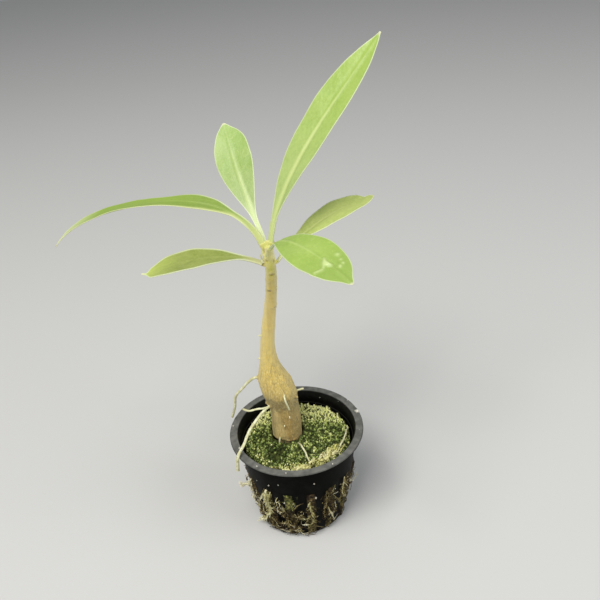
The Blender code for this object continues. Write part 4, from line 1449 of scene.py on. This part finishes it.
soften = body.modifiers.new("soften", "SMOOTH")
soften.factor = 0.5
soften.iterations = 3
apply_modifiers(body)
print("skin points:", len(body.data.vertices))

# %% [markdown]
# ## Bark
#
# The caudex bark has fine fissures that run lengthwise, with flat strips
# between them. Noise that is stretched along the stem gives such streaks. It
# presses them into the skin, and the same numbers are stored on the points, so
# that the colour follows the relief. Old leaf scars are small dark hollows.

# %% Bark relief
# Scars: place and radii across and upwards in millimetres.
SCARS = (
    ((-4.5, 1.9, 120.6), 0.45, 0.7), ((-2.1, 2.2, 120.1), 0.4, 0.7), ((-3.2, 1.7, 114.9), 0.9, 0.45),
    ((-4.9, 1.7, 108.2), 0.9, 0.5), ((-5.1, 2.4, 124.3), 0.45, 1.1), ((-2.6, 1.8, 101.0), 1.4, 0.4),
    ((-12.9, 2.0, 66.2), 0.5, 0.7), ((-2.2, 2.2, 108.9), 0.35, 0.5),
)


def streak(point, width, length, seed):
    """Noise stretched along the stem, from -1 to 1."""
    return noise.noise(Vector((point.x / width, point.y / width, point.z / length + seed)))


facts = {"fissure": [], "scar": [], "banding": []}
for point, normal in [(p, p.normal.copy()) for p in body.data.vertices]:
    place = point.co.copy()
    depth = smooth_step((place.z - 34 * MM) / (6 * MM))
    depth *= 1 - 0.7 * smooth_step((place.z - 74 * MM) / (14 * MM))
    ridge = 1 - min(abs(streak(place, 1.5 * MM, 9 * MM, 0.0)) * 5, 1.0)
    fine = 1 - min(abs(streak(place, 0.7 * MM, 5 * MM, 7.0)) * 4, 1.0)
    crack = depth * (0.65 * ridge ** 2 + 0.35 * fine ** 2)
    scar, lip = 0.0, 0.0
    for where, wide, tall in SCARS:
        away = place - Vector(where) * MM
        share = math.hypot(away.x / (wide * MM), away.y / (2 * wide * MM), away.z / (tall * MM))
        scar = max(scar, math.exp(-share ** 4))
        lip = max(lip, bell((share - 1.5) / 0.4))
    high_up = smooth_step((place.z - 72 * MM) / (12 * MM))
    slow = (rough(place, 3.5) * 0.2 * MM + rough(place, 1.1) * 0.06 * MM) * (1 - 0.6 * high_up)
    point.co = place + normal * (slow - 0.2 * MM * crack - 0.28 * MM * scar + 0.12 * MM * lip)
    young = smooth_step((place.z - 119 * MM) / (4 * MM))
    streaks = streak(place, 2.2 * MM, 16 * MM, 3.0)
    streaks += (0.6 - 0.4 * high_up) * streak(place, 0.5 * MM, (3 + 5 * high_up) * MM, 5.0)
    for key, value in (("fissure", crack), ("scar", scar), ("banding", streaks * (1 - 0.9 * young))):
        facts[key].append(value)
for key, values in facts.items():
    store(body, key, values)
smooth(body)
print("deepest fissure:", round(max(facts["fissure"]), 2))

# %% [markdown]
# ## The bark's colours
#
# A colour ramp follows the height. It goes from an orange brown foot through dark brown and tan to the
# green tip. The dark brown band just under the bulge is painted shade, and below the foot's edge the ramp
# turns almost black, which is painted shade in the undercut. Near the crown it is brighter, as painted
# light that offsets the shadow of a leaf stalk. Thin layers over it darken the fissures and scars, lighten
# the left side of the foot as painted light, and add dark and pale spots. A mask of the grazing angle
# paints the slim stem paler towards its outline, as painted rim light.

# %% The bark material
bark, tree, shader, place = make_material("stem_bark", 0.72, 0.3)
axes = add_node(tree, "SeparateXYZ", {"Vector": place}).outputs
banding = attribute(tree, "banding")
tilted = maths(tree, "MULTIPLY_ADD", axes["X"], FOOT_TILT, axes["Z"])
tilted = maths(tree, "MULTIPLY_ADD", axes["Y"], FOOT_SLOPE, tilted)
height = maths(tree, "MULTIPLY_ADD", banding, 1.2 * MM, tilted)
# Painted shade: the almost black first stop lies below the foot's edge, and the stops at 0.205 and 0.246
# darken a band under the bulge. Painted light: the stops at 0.96 and 0.98 are brighter to offset the shadow
# of leaf_front_right's stalk.
skin = ramp(tree, span(tree, height, 36.75 * MM, 124.15 * MM), [
    (0.0, (0.06, 0.035, 0.015)), (0.005, (0.52, 0.29, 0.05)), (0.03, (0.4, 0.235, 0.043)),
    (0.13, (0.39, 0.235, 0.044)), (0.17, (0.43, 0.275, 0.056)), (0.205, (0.24, 0.155, 0.032)),
    (0.246, (0.2, 0.135, 0.028)), (0.258, (0.54, 0.38, 0.09)), (0.3, (0.65, 0.47, 0.115)),
    (0.4, (0.69, 0.51, 0.12)), (0.68, (0.63, 0.475, 0.12)), (0.86, (0.38, 0.3, 0.06)),
    (0.915, (0.36, 0.35, 0.05)), (0.935, (0.5, 0.48, 0.085)), (0.96, (0.66, 0.63, 0.11)),
    (0.98, (0.8, 0.8, 0.16)), (1.0, (0.58, 0.6, 0.14))])
# Painted light: the left side of the foot is made lighter, as the side that the light falls on.
slant = maths(tree, "MULTIPLY_ADD", axes["Z"], 0.25, maths(tree, "SUBTRACT", axes["X"], 12.5 * MM))
low_down = span(tree, axes["Z"], 56.5 * MM, 54.5 * MM)
left_flank = maths(tree, "MULTIPLY", span(tree, slant, -5.2 * MM, -6.8 * MM), low_down)
on_caudex = span(tree, axes["Z"], 86 * MM, 70 * MM, 0.15)
stretched = add_node(tree, "Mapping", {"Vector": place, "Scale": (1.0, 1.0, 0.3)}).outputs[0]
mottle = soft_noise(tree, stretched, 3200.0)
dark_spots = maths(tree, "MULTIPLY", span(tree, mottle, 0.5, 0.72), on_caudex)
pale_spots = maths(tree, "MULTIPLY", span(tree, mottle, 0.45, 0.28), on_caudex)
# Painted rim light: the stem turns paler where it is seen at a grazing angle, and the caudex less so.
grazing = add_node(tree, "LayerWeight", {"Blend": 0.45}).outputs["Facing"]
off_caudex = maths(tree, "MULTIPLY_ADD", on_caudex, -0.65, 1.0)
skin = layered(tree, skin, [
    (left_flank, 0.75, (0.8, 0.6, 0.22)),
    (patch_mask(tree, place, 900.0, 0.35, 0.7), 0.3, (0.62, 0.52, 0.26)),
    (maths(tree, "MULTIPLY_ADD", banding, 0.7, 0.05), 1.0, (0.33, 0.22, 0.065)),
    (attribute(tree, "fissure"), 0.75, (0.2, 0.16, 0.08)), (dark_spots, 0.55, (0.28, 0.2, 0.07)),
    (pale_spots, 0.5, (0.85, 0.74, 0.36)), (attribute(tree, "scar"), 0.5, (0.14, 0.07, 0.025)),
    (grazing, off_caudex, (0.84, 0.77, 0.45))])
dress(tree, shader, skin, soft_noise(tree, place, 3000.0, 3.0), 0.08 * MM, 0.5)
hand_over(body, "stem_skin", "stem_bark", bark, "caudex_stem")

# %% [markdown]
# ## Aerial roots
#
# The plant clings with short roots that leave the caudex, cross the moss and in
# one case climb over the rim. They are cream, a little knotty and blunt, so
# each is a round strand along a curve that tapers towards its end.

# %% The aerial roots
# Young root tips and buds that only just stand out: base, tip and base radius in millimetres.
PEGS = (
    ((-9.4, 2.9, 88.2), (-11.1, 2.5, 88.7), 0.6), ((-11.0, 2.8, 77.8), (-12.4, 2.4, 78.1), 0.5),
    ((-2.6, 3.0, 108.5), (-1.6, 2.8, 108.9), 0.4), ((-6.0, 3.3, 119.4), (-6.7, 3.0, 122.9), 0.6),
    ((-7.0, -1.8, 40.6), (-7.5, -3.0, 38.8), 0.5), ((-4.6, -2.4, 47.3), (-4.6, -3.1, 47.0), 0.22),
    ((-2.2, -2.2, 51.6), (-2.1, -3.1, 51.2), 0.2),
)
# A root that creeps over the moss on the right, with no foot on the caudex.
CREEPING = (0.8, 0.7, ((20.6, 1.4, 38.6), (20.3, -1.2, 39.6), (19.0, -5.2, 39.8), (17.3, -8.6, 39.7),
                       (15.6, -11.6, 38.6)))
root_routes = [(in_mm(route), diameter * MM, end)
               for diameter, end, route in (*AERIAL_ROOTS.values(), CREEPING)]
roots = curve_piece("aerial_roots", root_routes, 4, 0.08 * MM, 40.0)
pegs = [add_cone(*in_mm((base, tip)), radius * MM, 0.16 * MM, 10) for base, tip, radius in PEGS]
roots = join([roots] + pegs, "aerial_roots")
make_active(roots)
bpy.ops.object.shade_smooth_by_angle(angle=math.radians(60))
root_skin, tree, shader, place = make_material("root_skin", 0.65, 0.3)
worn = patch_mask(tree, place, 500.0, 0.35, 0.65)
skin = mix(tree, worn, (0.58, 0.56, 0.3), (0.8, 0.8, 0.54))
skin = mix(tree, speck_mask(tree, place, 1500.0, 0.12), skin, (0.3, 0.22, 0.1))
dress(tree, shader, skin, worn, 0.1 * MM, 0.6)
hand_over(roots, "aerial_roots", "stem_bark", root_skin)

# %% [markdown]
# ## The leaves
#
# A leaf is a fine grid laid along its path. The grid's width follows the leaf's
# outline, its edges rise a little to fold the blade, and its relief is small:
# a midrib, side veins that sink between low swellings, and a wavy margin. Then
# Solidify gives the blade its thickness downwards. A weight on every point
# makes it thickest along the midrib and thin at the margin, and rounds the
# stalk.
#
# Colour follows places on the leaf, so each point stores how far along and how
# far off the midrib it lies, in millimetres. Unlike a picture laid on the leaf,
# these numbers let the material draw a sharp midrib at any size.

# %% The leaves' outlines and scars
THINNEST = 0.35 * MM
# Where one edge of a leaf swells or dips: side, place, reach and share of the width.
EDGES = {
    "leaf_back_right": ((1, 0.93, 0.025, -0.45),), "leaf_left_long": ((-1, 0.5, 0.1, -0.25),),
    "leaf_right_long": ((1, 0.28, 0.16, 0.14), (-1, 0.65, 0.15, -0.11), (1, 0.8, 0.15, 0.12)),
    "leaf_back_left": ((1, 0.9, 0.08, -0.08), (-1, 0.88, 0.08, 0.1)),
    "leaf_front_right": ((1, 0.95, 0.04, -0.12), (-1, 0.95, 0.04, -0.12)),
}
# A star-shaped scar on one leaf and a scratch beside it, as pairs of ends in millimetres.
STAR_MIDDLE = (14.6, -33.0, 136.4)
STAR = (
    (STAR_MIDDLE, (14.6, -31.0, 136.8)), (STAR_MIDDLE, (16.6, -34.2, 136.0)),
    (STAR_MIDDLE, (13.9, -35.2, 135.8)), ((13.5, -35.9, 135.7), (11.2, -37.0, 135.4)),
)
# Lumps round it: place and size in millimetres.
LUMPS = ((STAR_MIDDLE, 1.0), ((15.4, -33.8, 136.2), 0.7), ((18.8, -29.9, 137.2), 0.7),
         ((19.1, -34.8, 135.9), 0.55), ((20.1, -33.6, 136.2), 0.5), ((19.6, -32.0, 136.5), 0.45))


def outline(leaf, s):
    """Half of the leaf's width at s, the stalk's included."""
    a, b = leaf["outline"]
    widest = a / (a + b)
    u = clamp((s - leaf["share"]) / (1 - leaf["share"]))
    blade = leaf["half"] * MM * u ** a * (1 - u) ** b / (widest ** a * (1 - widest) ** b)
    blade *= 1 - leaf["point"] * smooth_step((s - 0.92) / 0.05)
    return math.hypot(blade, max(leaf["stalk"] * MM * min(3 * (1 - s), 1.0), THINNEST))


def from_line(point, start, end):
    """The distance in millimetres of a point from a line given in millimetres."""
    start, end = in_mm((start, end))
    along = end - start
    share = clamp((point - start).dot(along) / along.length_squared)
    return (point - start - along * share).length / MM


def star_scar(place):
    """How scarred the leaf is at a place, and how far its skin is pushed up there."""
    near = min(from_line(place, *arm) for arm in STAR)
    lumps = sum(bell((place - Vector(lump) * MM).length / (size * MM)) for lump, size in LUMPS)
    scar = min(0.8 * bell(near / 0.5) + 0.9 * lumps, 1.0)
    return scar, 0.35 * MM * scar - 0.16 * MM * bell((near - 1.1) / 0.4)


print("the long left leaf's half width:", round(outline(LEAVES["leaf_left_long"], 0.5) / MM, 1), "mm")

# %% Shape one point of a leaf
BLADE, MIDRIB, STALK = 0.42 * MM, 0.95 * MM, 1.3 * MM      # how thick each is
MARGIN_WAVE = 0.1 * MM
VEIN_SPACING = 5.2                  # millimetres


def side_vein(leaf, v, run, off):
    """1 on a side vein. Each leaves the midrib and slants towards the tip."""
    phase = (run - 1.15 * abs(off)) / VEIN_SPACING + (0.37 if v > 0 else 0.0)
    phase += 0.4 * noise.noise(Vector((run / 9, off / 9, leaf["length"])))
    return bell((phase - math.floor(phase) - 0.5) / 0.13)


def leaf_point(name, v, s, middle, across, upper):
    """A point's place, its thickness and its facts. v is -1 to 1 over the width."""
    leaf = LEAVES[name]
    width = outline(leaf, s)
    for side, where, reach, share in EDGES.get(name, ()):
        if v * side > 0:
            width *= 1 + share * bell((s - where) / reach)
    off, run = v * width / MM, s * leaf["length"]

    stalk_end = leaf["share"] + 0.08
    stalk = 1 - smooth_step(s / stalk_end)
    rib = bell(off / 1.1) * (1 - 0.8 * smooth_step((s - 0.55) / 0.4))
    round_off = 1 - math.sqrt(max(1 - (0.97 * v) ** 2, 0))
    thick = (BLADE + (MIDRIB - BLADE) * rib) * (1 - 0.55 * abs(v) ** 5)
    thick += (STALK * (1 - 0.75 * round_off) - thick) * stalk
    thick *= 1 - 0.35 * smooth_step((s - 0.85) / 0.15)

    vein = side_vein(leaf, v, run, off)
    vein *= (1 - stalk) * smooth_step(width / MM / 3 - 0.3) * (1 - abs(v) ** 4)
    fold = math.radians(leaf["fold"])
    place = middle + across * (v * width * math.cos(fold))
    wave = MARGIN_WAVE * math.sin(9 * math.pi * s + 2 * v) * min(width / (leaf["half"] * MM), 1)
    lift = width * abs(v) ** 1.4 * math.sin(fold) + wave * v ** 2
    crease = bell(off / 0.5) - bell((abs(off) - 1.3) / 0.7) * (1 - stalk)
    lift += 0.1 * MM * leaf["ridge"] * crease
    lift -= 0.02 * MM * vein + 0.12 * MM * rough(place, 5) * (1 - stalk)
    lift -= STALK * 0.45 * round_off * stalk
    place = place + upper * lift
    scar = 0.0
    if name == "leaf_front_right":
        scar, pushed = star_scar(place)
        place += upper * pushed

    paler = leaf["pale"] * smooth_step((off - width / MM) / 1.3 + 1.4)
    tinted = 1 - smooth_step(s / (stalk_end - 0.1 * leaf["pale"]))
    return place, thick, (run, off, width / MM, vein, scar, max(tinted, paler))


print("side veins every", VEIN_SPACING, "mm")

# %% Build the leaves
LEAF_COLUMNS = 44
LEAF_ROW = 0.36 * MM
LEAF_FACTS = ("run", "off", "half", "vein", "scar", "stalk")


def make_leaf(name):
    """A leaf's blade and stalk, as a grid that is bent along its path and thickened."""
    rows = round(LEAVES[name]["length"] * MM / LEAF_ROW)
    deselect_all()
    bpy.ops.mesh.primitive_grid_add(x_subdivisions=LEAF_COLUMNS, y_subdivisions=rows, size=2)
    blade = bpy.context.object
    frames = [leaf_frame(LEAVES[name], i / rows) for i in range(rows + 1)]
    facts, weights = [], []
    for point in blade.data.vertices:
        v, s = point.co.x, (point.co.y + 1) / 2
        middle, _, across, upper = frames[round(s * rows)]
        point.co, thick, fact = leaf_point(name, v, s, middle, across, upper)
        weights.append(thick / STALK)
        facts.append(fact)
    for key, values in zip(LEAF_FACTS, zip(*facts)):
        store(blade, key, values)
    group = blade.vertex_groups.new(name="thickness")
    for index, weight in enumerate(weights):
        group.add([index], weight, "REPLACE")
    face = blade.data.polygons[len(blade.data.polygons) // 2]
    edit(blade, "FACE")
    bpy.ops.mesh.select_all(action="SELECT")
    if face.normal.dot(frames[rows // 2][3]) < 0:
        bpy.ops.mesh.flip_normals()
    bpy.ops.object.mode_set(mode="OBJECT")
    solid = blade.modifiers.new("thickness", "SOLIDIFY")
    solid.thickness = STALK
    solid.offset = -1
    solid.vertex_group = "thickness"
    apply_modifiers(blade)
    blade.vertex_groups.clear()
    smooth(blade)
    return blade


leaves = {name: make_leaf(name) for name in LEAVES}
print("leaf points:", {name: len(leaf.data.vertices) for name, leaf in leaves.items()})

# %% [markdown]
# ## What makes a leaf look like a leaf
#
# Up close the blade is not one green. It has a pale midrib that narrows towards the tip, a pale margin, a
# whitish tip, faint side veins, soft blotches and very fine lines along the leaf. On some leaves a dark
# line along one side of the midrib is painted shade. One node group turns the stored places into masks for
# these, and each leaf's material picks its own colours: the young leaves are light green, and the two
# oldest are olive.

# %% Masks for a leaf
marks, given, result = new_group(
    "leaf_marks", "Run Off Half Length Rib Edge", "Rib Margin Tip Lines Beside Share")
share = maths(marks, "DIVIDE", given["Run"], given["Length"])
distance = maths(marks, "ABSOLUTE", given["Off"])
narrowing = span(marks, share, 0.05, 0.85, 1.0, 0.22)
rib_width = maths(marks, "MULTIPLY", narrowing, given["Rib"])
rib = span(marks, maths(marks, "DIVIDE", distance, rib_width), 1.5, 0.3)
fading = span(marks, share, 0.5, 0.9, 1.0, 0.15)
inside = maths(marks, "SUBTRACT", given["Half"], distance)
full_margin = maths(marks, "MULTIPLY", given["Edge"], 0.25)
stretched = add_node(marks, "CombineXYZ", {"X": maths(marks, "MULTIPLY", given["Off"], 3.2),
                                           "Y": maths(marks, "MULTIPLY", given["Run"], 0.22)}).outputs[0]
# The mask beside the midrib is painted shade along one side of the rib.
aside = maths(marks, "ABSOLUTE", maths(marks, "MULTIPLY_ADD", narrowing, 1.4, given["Off"]))
found = {
    "Share": share, "Rib": maths(marks, "MULTIPLY", rib, fading), "Tip": span(marks, share, 0.98, 0.995),
    "Margin": span(marks, inside, given["Edge"], full_margin), "Lines": soft_noise(marks, stretched, 1.0),
    "Beside": maths(marks, "MULTIPLY", span(marks, aside, 0.75, 0.15), fading)}
for label, value in found.items():
    marks.links.new(value, result[label])
print("masks:", ", ".join(found))

# %% The leaves' materials
PALE_RIB, PALE_STALK, PALE_EDGE = (0.62, 0.72, 0.28), (0.62, 0.69, 0.27), (0.76, 0.8, 0.56)
# Each leaf's darker green, lighter green, rib and stalk, and what else it has of its own.
LEAF_LOOKS = {
    "leaf_left_long": ((0.19, 0.29, 0.045), (0.26, 0.37, 0.07), PALE_RIB, (0.64, 0.68, 0.27), {
        "ribbed": 0.15, "edge": 0.75, "outer": (0.36, 0.54, 0.05), "bleached": 0.8}),
    "leaf_right_long": ((0.32, 0.46, 0.095), (0.41, 0.54, 0.14), PALE_RIB, PALE_STALK, {
        "rib_width": 1.2, "ribbed": 0.85, "streaked": 0.3, "washed": 0.22}),
    "leaf_back_left": ((0.24, 0.38, 0.085), (0.35, 0.46, 0.14), (0.62, 0.72, 0.32), (0.72, 0.76, 0.46), {
        "rib_width": 1.3, "ribbed": 0.6, "washed": 0.25}),
    "leaf_front_right": ((0.3, 0.45, 0.075), (0.38, 0.52, 0.12), PALE_RIB, PALE_STALK, {
        "ribbed": 0.3, "outer": (0.26, 0.38, 0.077), "outer_span": (0.66, 0.84)}),
    "leaf_left_low": ((0.24, 0.3, 0.06), (0.36, 0.41, 0.11), (0.5, 0.52, 0.2), (0.6, 0.6, 0.32), {
        "ribbed": 0.12, "lined": 0.5, "edge": 0.9, "outer": (0.72, 0.84, 0.2), "outer_span": (0.68, 0.94)}),
    "leaf_back_right": ((0.4, 0.5, 0.12), (0.54, 0.62, 0.19), (0.62, 0.66, 0.26), (0.66, 0.68, 0.4), {
        "ribbed": 0.45, "streaked": 0.3}),
}


def leaf_material(name, low, high, rib, stalk, rib_width=0.8, ribbed=0.75, lined=0.15, streaked=0.0,
                  washed=0.0, edge=0.45, outer=None, outer_span=(0.3, 0.45), bleached=0.0):
    """A leaf's material, from its darker and lighter green and its rib's colour."""
    material, tree, shader, place = make_material(name, 0.42, 0.45)
    feeds = {key.title(): attribute(tree, key) for key in ("run", "off", "half")}
    feeds.update({"Length": LEAVES[name]["length"], "Rib": rib_width, "Edge": edge})
    found = add_node(tree, "Group", feeds, node_tree=marks).outputs
    small = patch_mask(tree, place, 900.0, 0.3, 0.8)
    lighter = tuple(min(value * 1.25 + 0.03, 1) for value in high)
    darker = tuple(value * 0.62 for value in low)
    layers = [(small, 0.3, lighter), (span(tree, found["Share"], 0.65, 0.2), washed, (0.68, 0.7, 0.46)),
              (span(tree, found["Share"], 0.4, 0.9), washed, (0.3, 0.5, 0.02))]
    if outer:
        layers.append((span(tree, found["Share"], *outer_span), 0.6, outer))
    # The darker line beside the midrib is painted shade.
    layers += [
        (found["Lines"], lined, darker), (found["Beside"], streaked, darker),
        (attribute(tree, "vein"), 0.05, lighter), (speck_mask(tree, place, 1500.0, 0.2), 0.2, lighter),
        (found["Rib"], ribbed, rib), (found["Margin"], 0.7, PALE_EDGE),
        (attribute(tree, "stalk"), 0.9, stalk), (attribute(tree, "scar"), 0.65, (0.66, 0.76, 0.34)),
        (span(tree, found["Share"], 0.75, 0.97), bleached, (0.82, 0.85, 0.5)),
        (found["Tip"], 0.75, (0.75, 0.72, 0.5))]
    colour = layered(tree, mix(tree, patch_mask(tree, place, 110.0, 0.2, 0.8), low, high), layers)
    dress(tree, shader, colour, maths(tree, "ADD", found["Lines"], small), 0.06 * MM, 0.5)
    return material


for name, (low, high, rib, stalk, own) in LEAF_LOOKS.items():
    slot = "leaf_olive" if name in ("leaf_left_low", "leaf_back_right") else "leaf_bright"
    hand_over(leaves[name], name + "_blade", slot, leaf_material(name, low, high, rib, stalk, **own), name)

# %% [markdown]
# ## Crumbs of grit
#
# A few light crumbs lie on the lip and the moss and cling to the wall, left from
# potting. Each is a small ball of its own size, with its points pushed about.

# %% Place the crumbs
# Crumbs as x, y, z and radius in millimetres. Those on the wall have an angle in
# degrees, a height and a radius.
CRUMBS = (
    (25.7, 6.3, 43.6, 0.85), (-26.3, 4.0, 43.6, 0.35), (-23.2, -9.7, 43.6, 0.4), (-16.2, -20.6, 43.6, 0.3),
    (-5.0, -25.6, 43.6, 0.25), (13.1, -22.9, 43.6, 0.3), (22.6, 14.4, 43.6, 0.25), (-21.2, 2.4, 38.0, 0.5),
)
WALL_CRUMBS = ((-77, 34.0, 0.35), (-76, 25.0, 0.4), (-53, 25.3, 0.25), (-36, 9.9, 0.3), (-50, 10.6, 0.3),
               (-123, 31.9, 0.3), (-109, 22.7, 0.35), (-100, 22.4, 0.35), (-116, 3.0, 0.35), (-15, 10, 0.4))
rng = random.Random(12)
crumbs = []
crumb_places = list(CRUMBS)
for angle, height, radius in WALL_CRUMBS:
    crumb_places.append((*(on_wall(math.radians(angle), height * MM, 0.2 * MM) / MM), radius))
for x, y, z, radius in crumb_places:
    crumb = add_ball((0, 0, 0), radius * MM)
    for point in crumb.data.vertices:
        point.co *= 1 + rng.uniform(-0.25, 0.25)
    crumb.data.transform(Matrix.Translation((x * MM, y * MM, (z + 0.35 * radius) * MM)))
    crumbs.append(crumb)
grit = join(crumbs, "grit_crumbs")
stone, tree, shader, place = make_material("grit", 0.8, 0.3)
spots = patch_mask(tree, place, 1800.0)
dress(tree, shader, mix(tree, spots, (0.45, 0.42, 0.34), (0.8, 0.78, 0.68)), spots, 0.1 * MM, 0.5)
hand_over(grit, "grit_crumbs", "moss", stone)

# %% [markdown]
# ## The sizes
#
# The finished visual model should fill the same box as the plain solids did, so both sizes are printed side
# by side.

# %% Print the sizes
visual_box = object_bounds()
sizes = {"cad": [list(map(float, corner)) for corner in cad_box],
         "visual": [list(map(float, corner)) for corner in visual_box]}
for label, (low, high) in sizes.items():
    print(label, [round((b - a) / MM, 1) for a, b in zip(low, high)], "mm")
